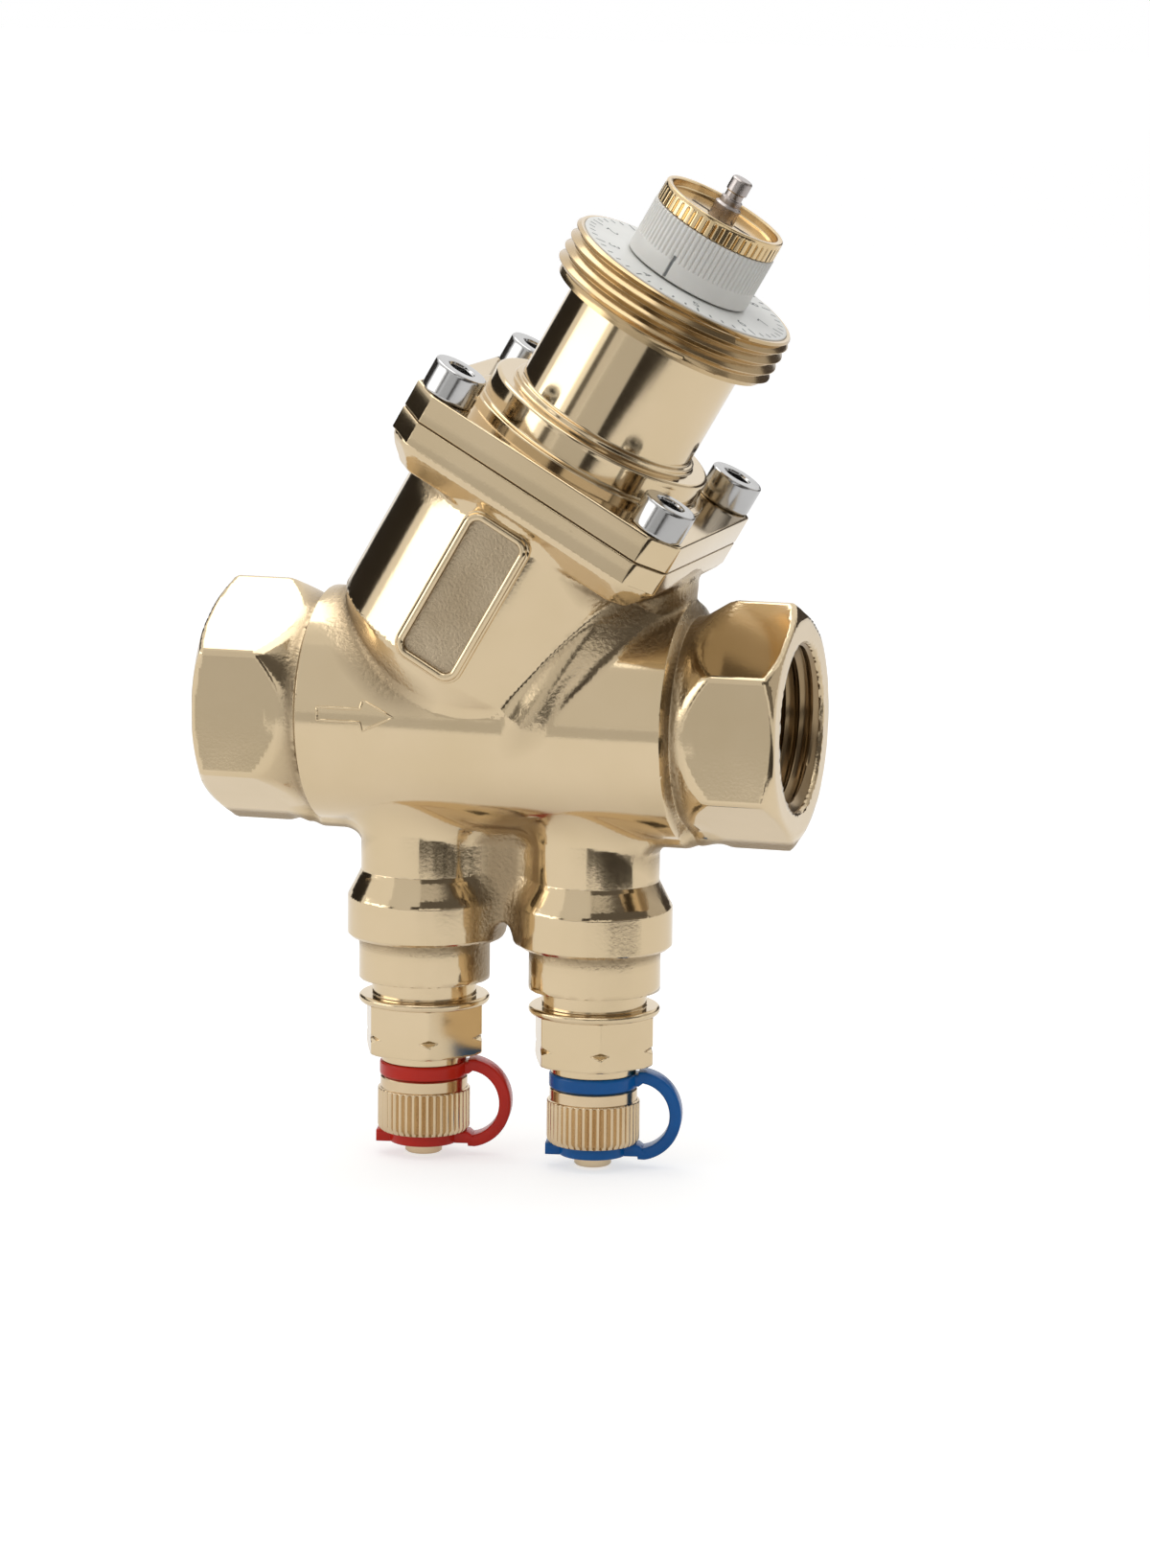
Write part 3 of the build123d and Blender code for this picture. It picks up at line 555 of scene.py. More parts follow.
def grain_and_shade_zones(p):
    """Where the casting keeps its brown grain and is darkened as painted shade: round the web, on the rib and
    in the barrel's corners.
    """
    x, y, z = p.T
    px = lean_back(x, y, z)[0]
    web = unit((4.3 - np.abs(x - TEST_MIDDLE)) / 2.6) * unit((-14.2 - z) / 1.6)
    rib = unit((4.2 - np.abs(y)) / 0.8) * unit((-13.6 - z) / 0.8) * (z > -16.5)
    near = np.hypot(pipe_field(x, y, z), barrel_field(x, y, z))
    inlet = unit(1.15 - near / 3.6) * unit((4.0 - px) / 8.0)
    outlet = 0.45 * unit(1.7 - near / 3.4) * unit((px - 10.0) / 4.0)
    return 0.42 * np.maximum(np.maximum(web, rib), np.maximum(inlet, outlet))


def frame_field(p):
    """Raised frame on the barrel's front: a block with a half round rim and a sunk field, upright."""
    x, y, s = p[:, 0] - FRAME_SIDE, p[:, 1], p[:, 2] - FRAME_MIDDLE

    def rectangle(half_x, half_s, size):
        qx = np.abs(x) - half_x + size
        qs = np.abs(s) - half_s + size
        return np.hypot(np.maximum(qx, 0), np.maximum(qs, 0)) + np.minimum(np.maximum(qx, qs), 0) - size

    block = rounded_all([rectangle(4.7, 10.55, 2.1), -17.95 - y, y + 14.5], 0.25)
    rim = np.hypot(rectangle(3.95, 9.8, 1.5), y + 17.88) - 0.52
    field = rounded_all([rectangle(3.5, 9.35, 1.1), y + 17.72], 0.1)
    return -rounded_union(-rounded_union(block, rim, 0.12), field, 0.08)


def nipple_hex_field(p):
    """Nipple's hexagon with its lower edges bevelled and a small notch on each corner."""
    x, y, z = p.T
    turn = radians(-7.5)
    bevel = radians(30)
    u, v = x * cos(turn) + y * sin(turn), y * cos(turn) - x * sin(turn)
    radius = np.hypot(x, y)
    sides = hexagon_sides(v, u, 7.0)
    sides.append((radius - 7.58) * sin(bevel) - (z - HEX_NIPPLE_LOW) * cos(bevel))
    body = rounded_all(sides, 0.18)
    body = np.maximum(body, np.maximum(z - HEX_NIPPLE_TOP, HEX_NIPPLE_LOW - z))
    notch = (np.abs(z + 41.6) - 0.95 * (radius - 7.48)) * cos(radians(43))
    return np.maximum(body, -notch)


def slope_of(field, points, step=0.02):
    """Unit direction in which a field rises fastest."""
    corners = np.array([(1, -1, -1), (-1, -1, 1), (-1, 1, -1), (1, 1, 1)], float)
    total = np.zeros(points.shape)
    for corner in corners:
        total += corner * field(points + corner * step)[:, None]
    length = np.linalg.norm(total, axis=1, keepdims=True)
    return total / np.maximum(length, 1e-12)


def sampled(field, low, high, step):
    """Field's values on a grid of cubes."""
    counts = np.ceil((np.array(high, float) - low) / step).astype(int) + 1
    axes = [low[a] + step * np.arange(counts[a]) for a in range(3)]
    grid = np.stack(np.meshgrid(*axes, indexing="ij"), -1).reshape(-1, 3)
    parts = np.array_split(grid, max(1, len(grid) // 200000))
    return np.concatenate([field(part) for part in parts]).reshape(counts)


def crossings(field, value, low, step, a):
    """Where the grid's edges along one axis cross the surface, and the four cells round each of them."""
    b, c = (a + 1) % 3, (a + 2) % 3
    cells = np.array(value.shape) - 1
    first, second = [slice(None)] * 3, [slice(None)] * 3
    first[a], second[a] = slice(0, -1), slice(1, None)
    first, second = value[tuple(first)], value[tuple(second)]
    index = np.argwhere((first < 0) != (second < 0))
    keep = (index[:, b] > 0) & (index[:, b] < cells[b]) & (index[:, c] > 0) & (index[:, c] < cells[c])
    index = index[keep]
    at = tuple(index.T)
    v0, v1 = first[at], second[at]
    t0, t1 = np.zeros(len(index)), np.ones(len(index))
    rises = v0 < 0
    for _ in range(3):
        t = t0 + (t1 - t0) * v0 / (v0 - v1)
        spot = low + step * index
        spot[:, a] += t * step
        v = field(spot)
        near = (v < 0) == (v0 < 0)
        v0, t0 = np.where(near, v, v0), np.where(near, t, t0)
        v1, t1 = np.where(near, v1, v), np.where(near, t1, t)
    ring = []
    for db, dc in ((0, 0), (-1, 0), (-1, -1), (0, -1)):
        cell = index.copy()
        cell[:, b] += db
        cell[:, c] += dc
        ring.append(np.ravel_multi_index(tuple(cell.T), cells))
    ring = np.stack(ring, 1)
    return spot, ring, np.where(rises[:, None], ring, ring[:, ::-1])


def settled(spots, normals, owners, total):
    """Point of each cell that lies best on the planes of the crossings round it."""
    flat = owners.ravel()
    spots4 = np.repeat(spots, 4, 0)
    normals4 = np.repeat(normals, 4, 0)
    share = np.bincount(flat, minlength=total).astype(float)
    middle = np.stack([np.bincount(flat, spots4[:, k], total) for k in range(3)], 1) / share[:, None]
    reach = np.einsum("ij,ij->i", normals4, spots4 - middle[flat])
    right = np.stack([np.bincount(flat, normals4[:, k] * reach, total) for k in range(3)], 1)
    square = np.empty((total, 3, 3))
    for i in range(3):
        for j in range(3):
            square[:, i, j] = np.bincount(flat, normals4[:, i] * normals4[:, j], total)
    strength, ways = np.linalg.eigh(square)
    strong = strength > 0.08 * strength[:, -1:]
    inverse = np.where(strong, 1 / np.maximum(strength, 1e-9), 0)
    return middle + np.einsum("nij,nj,nkj,nk->ni", ways, inverse, ways, right)


def contour(field, low, high, step):
    """Points and quads of the surface where a field is zero, with its sharp edges kept."""
    low = np.array(low, float)
    value = sampled(field, low, high, step)
    found = [crossings(field, value, low, step, a) for a in range(3)]
    spots, owners, quads = (np.concatenate(parts) for parts in zip(*found))
    used, owners = np.unique(owners, return_inverse=True)
    owners = owners.reshape(-1, 4)
    quads = np.searchsorted(used, quads)
    points = settled(spots, slope_of(field, spots), owners, len(used))
    corner = low + step * np.stack(np.unravel_index(used, np.array(value.shape) - 1), 1)
    return np.clip(points, corner, corner + step), quads


def recess_shade_depth(field, points, zones):
    """How deep points lie in hollows of the surface, near and far, or in the given zones: the mask of painted
    shade and cast grain.
    """
    up = slope_of(field, points)
    depth = np.zeros(len(points))
    for far, weight in ((1.6, 0.5), (6.0, 0.5)):
        depth += weight * unit(1 - field(points + up * far) / far)
    if zones is not None:
        depth = np.maximum(depth, zones(points))
    return depth


def field_mesh(name, field, low, high, step, spot, slot, body, replaced=(), recess=False, zones=None):
    """Piece from a field, shaded with the field's own slope on each side of its edges."""
    points, quads = contour(field, low, high, step)
    centre = points[quads].mean(1)
    corner_at = points[quads] * 0.7 + centre[:, None, :] * 0.3
    shading = slope_of(field, corner_at.reshape(-1, 3))
    mesh = bpy.data.meshes.new(name)
    mesh.vertices.add(len(points))
    mesh.vertices.foreach_set("co", (points * MM).ravel())
    mesh.loops.add(len(quads) * 4)
    mesh.loops.foreach_set("vertex_index", quads.ravel())
    mesh.polygons.add(len(quads))
    mesh.polygons.foreach_set("loop_start", np.arange(len(quads)) * 4)
    mesh.update(calc_edges=True)
    mesh.shade_smooth()
    mesh.normals_split_custom_set(shading.tolist())
    # The recess attribute is the mask of painted shade in hollows, with the casting's grain.
    if recess:
        layer = mesh.attributes.new("recess", "FLOAT", "POINT")
        layer.data.foreach_set("value", recess_shade_depth(field, points, zones).astype(np.float32))
    mesh.transform(spot)
    return dress(mesh, name, slot, body, replaced)


# Threads


def thread_rows(low, high, pitch, profile, turns, radius_at, columns):
    """Helical rows between two heights. Profile is (share of the pitch, share of the depth) points."""
    angle = np.arange(columns + 1) * 2 * pi / columns
    rows = []
    for turn in range(-1, turns + 1):
        for share, deep in profile:
            height = low + (turn + share) * pitch + pitch * angle / (2 * pi)
            held = np.clip(height, low, high)
            radius = radius_at(held, deep)
            rows.append(np.stack([radius * np.cos(angle), radius * np.sin(angle), held], -1))
    return np.array(rows).reshape(-1, 3), grid_faces(len(rows), columns + 1)


def collar_radius(height, deep):
    """Outside thread of the collar with a bevelled top edge and a plain run-out at its foot."""
    fade = unit((COLLAR_TOP - 0.25 - height) / 0.45)
    fade = fade * unit((height - COLLAR_LOW - 0.55) / 0.3)
    bevel = THREAD_TIP + np.minimum(COLLAR_TOP - height, 0.35)
    plain = np.where(height > COLLAR_TOP - 1.2, bevel, THREAD_FOOT)
    cut = COLLAR_RADIUS - 0.92 * deep
    return np.minimum(plain + (cut - plain) * fade, THREAD_TIP + (COLLAR_TOP - height))


def port_radius(height, deep):
    """Inside thread of a port, which runs out at both ends."""
    fade = unit((height - 0.5) / 0.7) * unit((13.6 - height) / 0.8)
    return PORT_ROOT + 0.02 - (PORT_ROOT - PORT_CREST) * (1 - deep) * fade


SCREW_PROFILE = [(0.0, 0.0), (0.06, 0.05), (0.42, 0.93), (0.5, 1.0), (0.58, 0.93), (0.94, 0.05)]
PIPE_PROFILE = [(0.0, 0.0), (0.09, 0.06), (0.40, 0.92), (0.5, 1.0), (0.60, 0.92), (0.91, 0.06)]


def make_port_threads():
    points, faces = thread_rows(0.5, 13.6, PORT_PITCH, PIPE_PROFILE, 8, port_radius, 120)
    inlet = Matrix.Rotation(pi / 2, 4, "Y")
    outlet = Matrix.Translation((LENGTH * MM, 0, 0)) @ Matrix.Rotation(-pi / 2, 4, "Y")
    for name, spot in (("inlet_thread", inlet), ("outlet_thread", outlet)):
        # The port threads take the darker brass of painted shade.
        place_mesh(name, points, faces, spot, "cast_brass", "housing", angle=50, material=PORT_SHADE_BRASS)


# Pieces


def make_body():
    step = 0.53
    low, high = (-1.3, -20.3, -35.6), (76.3, 20.3, 40.4)
    owner = ("cast_brass", "housing")
    field_mesh("body_casting", body_field, low, high, step, UPRIGHT, *owner, ["valve_body"], True, grain_and_shade_zones)
    points, faces = square_plate(JOINT - 2.9, JOINT, FLANGE_HALF, FLANGE_CUT, 0.15, 13.0)
    place_mesh("body_flange", points, faces, LEANING, *owner, angle=20)
    outline = []
    for qx, qs, start in ((1, 1, 0), (-1, 1, 90), (-1, -1, 180), (1, -1, 270)):
        for turn in np.radians(np.linspace(start, start + 90, 7)):
            outline.append((FRAME_SIDE + qx * 2.5 + cos(turn), -17.74, FRAME_MIDDLE + qs * 8.35 + sin(turn)))
    place_mesh("frame_floor", outline, [tuple(range(len(outline)))], LEANING, *owner, material=FIELD_BRASS)
    low, high = (-6.5, -19.2, 7.6), (5.2, -15.2, 30.4)
    field_mesh("raised_frame", frame_field, low, high, 0.12, LEANING, *owner, recess=True)


def make_arrow():
    """Raised outline of a flow arrow on the pipe's front."""
    mid, pieces = 0.9, 4
    outline = [(17.0, mid - 0.8), (17.0, mid + 0.8), (22.6, mid + 0.8), (22.9, mid + 1.9), (26.9, mid)]
    outline += [(22.9, mid - 1.9), (22.6, mid - 0.8)]
    path = []
    for i, corner in enumerate(outline):
        following = outline[(i + 1) % len(outline)]
        for k in range(pieces):
            path.append([corner[j] + (following[j] - corner[j]) * k / pieces for j in (0, 1)])
    curve = bpy.data.curves.new("flow_arrow", "CURVE")
    curve.dimensions = "3D"
    curve.bevel_depth = 0.17 * MM
    curve.bevel_resolution = 3
    line = curve.splines.new("POLY")
    line.points.add(len(path) - 1)
    for point, (x, z) in zip(line.points, path):
        y = -((PIPE_RADIUS - 0.03) ** 2 - z * z) ** 0.5
        point.co = (x * MM, y * MM, z * MM, 1)
    line.use_cyclic_u = True
    mesh = mesh_of_curve(curve)
    mesh.shade_smooth()
    dress(mesh, "flow_arrow", "cast_brass", "housing")


def square_ring(half, cut):
    """Square with cut and softened corners, and a function that gives it shrunk by a distance."""
    straight = half - cut
    ring = []
    for qx, qy in ((1, 1), (-1, 1), (-1, -1), (1, -1)):
        pair = [(half * qx, straight * qy), (straight * qx, half * qy)]
        ring += pair if qx * qy > 0 else pair[::-1]
    ring = np.array(softened(ring, 0.5, steps=4), float)

    def shrunk(by):
        out = []
        for i, p in enumerate(ring):
            before, after = ring[i - 1], ring[(i + 1) % len(ring)]
            na = np.array([p[1] - before[1], before[0] - p[0]])
            nb = np.array([after[1] - p[1], p[0] - after[0]])
            na, nb = na / np.linalg.norm(na), nb / np.linalg.norm(nb)
            out.append(np.linalg.solve(np.array([na, nb]), np.array([na @ p - by, nb @ p - by])))
        return np.array(out)

    return shrunk


def holed_face(outer, hole, height, turns=96):
    """Flat face between a round hole and an outline."""
    circle = [(hole * cos(2 * pi * k / turns), hole * sin(2 * pi * k / turns)) for k in range(turns)]
    rim = []
    for x, y in circle:
        scale = 1e9
        for a, b in zip(outer, np.roll(outer, -1, 0)):
            n = np.array([b[1] - a[1], a[0] - b[0]])
            reach = n @ a / (n @ np.array([x, y]) + 1e-12)
            if reach > 0:
                scale = min(scale, reach)
        rim.append((x * scale, y * scale))
    return [(x, y, height) for x, y in circle + rim], grid_faces(2, turns, round_cols=True)


def square_plate(low, high, half, cut, edge, hole, low_edge=0.0, steps=3):
    """Square plate with cut corners, soft top and bottom edges and a round hole, upright."""
    shrunk = square_ring(half, cut)
    levels = [(low_edge, low), (0.0, low + low_edge + 1e-3), (0.0, high - edge)]
    for k in range(1, steps + 1):
        turn = pi / 2 * k / steps
        levels.append((edge * (1 - cos(turn)), high - edge + edge * sin(turn)))
    sides = [(x, y, height) for by, height in levels for x, y in shrunk(by)]
    wall = (sides, grid_faces(len(levels), len(sides) // len(levels), round_cols=True))
    return gathered([wall, holed_face(shrunk(edge), hole, high), holed_face(shrunk(low_edge), hole, low)])


def make_bonnet():
    owner = (LEANING, "turned_brass", "housing")
    points, faces = square_plate(JOINT + 0.1, FLANGE_TOP, FLANGE_HALF, FLANGE_CUT, 0.3, 11.0, low_edge=0.17)
    place_mesh("bonnet_flange", points, faces, *owner, ["bonnet"], angle=20)
    # Dark plate in the gap between the flanges: painted shade of the joint.
    points, faces = square_plate(JOINT - 0.02, JOINT + 0.12, FLANGE_HALF - 0.14, FLANGE_CUT, 0.01, 13.0)
    place_mesh("joint_line", points, faces, *owner, material=SLOT_SHADE)
    outline = [(10.6, FLANGE_TOP - 0.4), (16.0, FLANGE_TOP - 0.4), (16.0, FLANGE_TOP + 0.8)]
    outline += [(14.8, FLANGE_TOP + 0.8), (14.8, 41.75), (14.85, 42.3), (14.5, 42.6), (12.4, 42.6)]
    outline += [(12.4, 43.3), (11.73, 43.3), (11.73, COLLAR_LOW), (THREAD_FOOT, COLLAR_LOW)]
    turned("bonnet_neck", outline, 192, *owner, soft=0.22)
    rim = [(THREAD_TIP, COLLAR_TOP), (14.2, COLLAR_TOP), (14.12, COLLAR_TOP - 0.08), (14.12, 62.4)]
    rim += [(5.56, 62.4)]
    turned("collar_rim", rim, 192, *owner)
    points, faces = thread_rows(COLLAR_LOW, COLLAR_TOP, COLLAR_PITCH, SCREW_PROFILE, 5, collar_radius, 216)
    half_turn = LEANING @ Matrix.Rotation(pi, 4, "Z")
    owner = (half_turn, "ring_brass", "housing")
    place_mesh("collar_thread", points, faces, *owner, angle=50, material=THREAD_BRASS)


def make_screws():
    """Four socket head screws: bevelled heads with hexagon sockets."""
    top = FLANGE_TOP + 3.9
    outer = softened([(0, FLANGE_TOP), (3.45, FLANGE_TOP), (3.45, top), (1.95, top)], 0.4, closed=False)
    outer[0] = (2.0, FLANGE_TOP)
    inner = [(1.95, top), (1.82, top - 0.05), (0.9, top - 0.3), (0.9, top - 2.2), (0, top - 2.4)]
    across = 1.5

    def socket(radius, height, angle):
        hexagon = across / np.cos((angle + pi / 6) % (pi / 3) - pi / 6)
        return np.where(radius < 1.0, hexagon * radius / 0.9, radius)

    parts = []
    for x in (-SCREW_AT, SCREW_AT):
        for y in (-SCREW_AT, SCREW_AT):
            for outline, shape in ((outer, None), (inner, socket)):
                points, faces = lathe(outline, 72, closed=False, shape=shape)
                parts.append((points + (x, y, 0.0), faces))
    owner = (LEANING, "screw_steel", "housing")
    place_mesh("flange_screw_heads", *gathered(parts), *owner, ["flange_screws"], angle=32)


def make_scale():
    """White disc with a plain generic scale printed on it."""
    owner = ("scale_plastic", "housing")
    under = DISC_TOP - 0.6
    outline = [(14.1, under), (14.1, DISC_TOP), (5.75, DISC_TOP), (5.75, under)]
    turned("scale_disc_plate", outline, 160, LEANING, *owner, ["scale_disc"], soft=0.1, closed=True)
    lift = DISC_TOP + 0.012
    first_turn, tick_turn, numbers, per_number = -215, 7.5, 9, 5
    points, faces = [], []
    for k in range((numbers - 1) * per_number + 1):
        turn = radians(first_turn + tick_turn * k)
        inner, outer, half = (12.2 if k % per_number == 0 else 12.8), 13.6, 0.13
        way = np.array([cos(turn), sin(turn)])
        across = np.array([-sin(turn), cos(turn)])
        base = len(points)
        for r, h in ((inner, -half), (outer, -half), (outer, half), (inner, half)):
            points.append((*(way * r + across * h), lift))
        faces.append((base, base + 1, base + 2, base + 3))
    place_mesh("scale_ticks", points, faces, LEANING, *owner, material=PRINT_GREY)
    for k in range(numbers):
        turn = radians(first_turn + tick_turn * per_number * k)
        text = bpy.data.curves.new("number", "FONT")
        text.body = str(k + 1)
        text.size = 2.3 * MM
        text.align_x = "CENTER"
        text.align_y = "CENTER"
        text.resolution_u = 4
        mesh = mesh_of_curve(text)
        ring = 10.9 * MM
        move = Matrix.Translation((ring * cos(turn), ring * sin(turn), lift * MM))
        mesh.transform(LEANING @ move @ Matrix.Rotation(turn + pi / 2, 4, "Z"))
        dress(mesh, f"scale_number_{k + 1}", *owner, material=PRINT_GREY)


def make_dial():
    """White dial: smooth skirt with a pointer groove and a ribbed grip above it."""
    owner = (LEANING, "dial_plastic", "setting")
    core, rib_count, groove_top = 7.6, 76, 66.6
    ribs = ribbed(rib_count, 0.24, DIAL_RIBS, DIAL_TOP + 1, 0.45, 0.18, core)
    heading = radians(-96.7) % (2 * pi)

    def shape(radius, height, angle):
        off = np.abs((angle - heading + pi) % (2 * pi) - pi) * 8.2
        in_groove = (off < 0.2) & (height < groove_top) & (radius > core)
        return np.where(in_groove, 7.95, ribs(radius, height, angle))

    heights = [DIAL_LOW + 0.12, 64.4, 65.2, DIAL_RIBS - 0.1, DIAL_RIBS, DIAL_RIBS + 0.06, DIAL_RIBS + 0.12]
    heights += [DIAL_RIBS + 0.2, groove_top - 0.02, groove_top + 0.02, 69.0, DIAL_TOP - 0.12]
    outline = [(5.6, DIAL_LOW), (8.08, DIAL_LOW)] + [(8.2, h) for h in heights]
    outline += [(8.08, DIAL_TOP), (4.7, DIAL_TOP), (4.7, DIAL_TOP - 1.4), (5.6, DIAL_TOP - 1.5)]
    turned("dial_knob", outline, rib_count * 12, *owner, ["setting_dial"], closed=True, shape=shape, angle=28)
    line_radius = 8.0
    half = 0.2 / line_radius
    strip = []
    for height in (DIAL_LOW + 0.15, groove_top - 0.03):
        for turn in (heading - half, heading + half):
            strip.append((line_radius * cos(turn), line_radius * sin(turn), height))
    place_mesh("dial_pointer", strip, [(0, 1, 3, 2)], *owner, material=PRINT_GREY)


def make_lock_ring():
    """Brass cup with a grooved rim, and a screwdriver slot drawn on its floor in painted shade."""
    owner = (LEANING, "ring_brass", "lock")
    low, top, floor = 70.55, 73.05, 71.9
    grooves = ribbed(50, 0.36, low - 1, top - 0.5, 0.62, 0.2, 7.75)
    outline = [(1.9, low), (7.95, low)]
    outline += [(8.1, h) for h in (low + 0.12, 71.4, top - 0.75, top - 0.65, top - 0.5, top - 0.22)]
    outline += [(8.03, top - 0.07), (7.92, top), (7.45, top), (7.34, top - 0.06), (7.3, top - 0.2)]
    outline += [(7.3, floor + 0.25), (7.22, floor + 0.08), (7.05, floor), (3.0, floor), (1.9, floor)]
    turned("lock_cup", outline, 600, *owner, ["lock_ring"], closed=True, shape=grooves, angle=32)
    inside = [(1.9, floor - 0.02), (1.78, floor - 0.15), (1.78, 66.55), (3.54, 66.55), (3.54, low)]
    turned("lock_spigot", inside, 96, *owner, angle=32)
    dark = []
    for side in (-1, 1):
        for x, y in ((1.85, -0.4), (4.2, -0.4), (4.2, 0.4), (1.85, 0.4)):
            dark.append((side * x, y, floor + 0.012))
    place_mesh("lock_slot", dark, [(0, 1, 2, 3), (4, 5, 6, 7)], *owner, material=SLOT_SHADE)


def make_stem():
    outline = [(0, 16.0), (1.72, 16.0), (1.72, 73.7), (1.4, 73.9), (1.4, 74.65), (1.15, 74.75)]
    outline += [(1.15, 75.55), (1.36, 75.62), (1.36, 77.18), (1.14, 77.4), (0, 77.4)]
    turned("stem_pin", outline, 72, LEANING, "stem_steel", "stem", ["stem"], soft=0.06)


CAP_LOW = -54.1


def make_nipple(number, spot):
    """Collar and throat, both turned, and the hexagon between them."""
    owner = (spot, "nipple_brass", "housing")
    top, low = HEX_NIPPLE_TOP, HEX_NIPPLE_LOW
    neck = [(0, -25.4), (6.6, -25.4), (6.6, NIPPLE_COLLAR_TOP), (8.0, NIPPLE_COLLAR_TOP)]
    neck += [(8.25, NIPPLE_COLLAR_TOP - 0.25), (8.25, top + 0.35), (8.0, top), (5.36, top - 0.02)]
    turned(f"nipple_collar_{number}", neck, 144, *owner, [f"test_nipple_{number}"], soft=0.12)
    throat = [(5.0, low + 0.3), (5.36, low + 0.25), (5.36, -45.1), (3.9, -45.1), (3.9, -51.8)]
    throat += [(1.5, -51.8), (1.5, -32.0)]
    turned(f"nipple_throat_{number}", throat, 120, *owner, soft=0.1)
    start, end = (-8.8, -8.8, low - 0.5), (8.8, 8.8, top + 0.5)
    field_mesh(f"nipple_hex_{number}", nipple_hex_field, start, end, 0.2, *owner)


def make_cap(number, spot):
    owner = (spot, "cap_brass", f"cap_{number}")
    top, split, end = -47.0, -48.6, CAP_LOW
    ribs = ribbed(40, 0.5, end - 0.5, split - 0.05, 0.30, 0.25, 5.55)
    cap = [(3.96, top), (5.3, top), (5.5, top - 0.2), (5.5, split + 0.08), (5.6, split), (5.76, split - 0.02)]
    cap += [(5.84, h) for h in (split - 0.12, split - 0.22, split - 0.34, -50.0, -52.0, end + 0.75)]
    cap += [(5.78, end + 0.4), (5.6, end + 0.15), (5.4, end), (2.35, end), (2.35, end - 2.7)]
    cap += [(2.15, end - 2.9), (0, end - 2.9)]
    turned(f"cap_knob_{number}", cap, 480, *owner, [f"test_cap_{number}"], shape=ribs, angle=32)
    turned(f"cap_bore_{number}", [(3.96, top), (3.96, -52.7), (0, -52.7)], 64, *owner, angle=32)


def strap_band(path, thick):
    """Flat band with soft edges along a path of (x, height) points."""
    half_width, bevel, steps = 1.6, 0.28, 3
    along = np.gradient(path, axis=0)
    along /= np.linalg.norm(along, axis=1, keepdims=True)
    out = np.stack([-along[:, 1], along[:, 0]], 1)
    section = []
    for a, b in ((1, 1), (-1, 1), (-1, -1), (1, -1)):
        for k in range(steps + 1):
            turn = atan2(b, a) + (k - steps / 2) / steps * pi / 2
            across = a * (half_width - bevel) + bevel * cos(turn)
            section.append((across, b * (thick - bevel) + bevel * sin(turn)))
    points = []
    for (x, z), (x_out, z_out) in zip(path, out):
        points += [(x + x_out * rise, across, z + z_out * rise) for across, rise in section]
    count = len(section)
    faces = grid_faces(len(path), count, round_cols=True)
    faces.append(tuple(range(count)))
    faces.append(tuple((len(path) - 1) * count + k for k in range(count))[::-1])
    return points, faces


def make_strap(number, spot):
    """Moulded strap: ring round the nipple, flat loop with a soft edge, eye and pull tail."""
    ring_top, ring_low = -45.15, -46.95
    eye_top = CAP_LOW - 0.05
    eye_low = eye_top - 1.5
    thick = 0.75
    bend_x, bend_out, bend_rise = 5.75, 4.7, 5.7 - thick
    middle = (ring_top + eye_low) / 2
    path = [(-0.4, ring_top - thick), (bend_x, ring_top - thick)]
    steps = 40
    for k in range(1, steps):
        a = pi / 2 - pi * k / steps
        path.append((bend_x + bend_out * cos(a), middle + bend_rise * sin(a)))
    path += [(bend_x, eye_low + thick), (-5.9, eye_low + thick)]
    ring = [(3.98, ring_low), (5.6, ring_low), (5.6, ring_top), (3.98, ring_top)]
    eye = [(2.43, eye_low), (4.4, eye_low), (4.4, eye_top), (2.43, eye_top)]
    rounds = [lathe(softened(outline, 0.3), 96) for outline in (ring, eye)]
    points, faces = gathered([strap_band(np.array(path), thick)] + rounds)
    slot = "red_strap" if number == 1 else "blue_strap"
    turned = spot @ Matrix.Rotation(radians(12), 4, "Z")
    replaced = [f"cap_strap_{number}"]
    place_mesh(f"strap_band_{number}", points, faces, turned, slot, f"strap_{number}", replaced, angle=40)


# Stage


MIDDLE = Vector((0.037, 0.0, 0.015))


def towards(turn, rise, away):
    """Place seen from the object's middle, turned from the front towards the outlet and raised."""
    turn, rise = radians(turn), radians(rise)
    return MIDDLE + Vector((sin(turn) * cos(rise), -cos(turn) * cos(rise), sin(rise))) * away


def soft_box(name, turn, rise, away, width, height, radiance, colour):
    light = bpy.data.lights.new(name, "AREA")
    light.shape = "RECTANGLE"
    light.size = width
    light.size_y = height
    light.energy = radiance * pi * width * height
    light.color = colour
    holder = new_object(name, light)
    holder.location = towards(turn, rise, away)
    holder.rotation_mode = "QUATERNION"
    holder.rotation_quaternion = (MIDDLE - holder.location).to_track_quat("-Z", "Y")


def panel(name, points, faces, shade):
    """Sheet that shows only in reflections."""
    mesh = bpy.data.meshes.new(name)
    mesh.from_pydata(points, [], faces)
    holder = new_object(name, mesh)
    material = bpy.data.materials.new(name)
    material.use_nodes = True
    material.node_tree.nodes.clear()
    add, link = node_tools(material.node_tree)
    glow = add("ShaderNodeEmission", Color=(*shade, 1))
    out = add("ShaderNodeOutputMaterial")
    link(glow.outputs[0], out.inputs[0])
    mesh.materials.append(material)
    holder.visible_camera = False
    holder.visible_diffuse = False
    holder.visible_shadow = False


def card(name, turns, rises, away, shade):
    """Panel seen between two turns and two rises."""
    rows, cols = 5, 9
    points = []
    for rise in np.linspace(*rises, rows):
        points += [tuple(towards(turn, rise, away)) for turn in np.linspace(*turns, cols)]
    panel(name, points, grid_faces(rows, cols), shade)


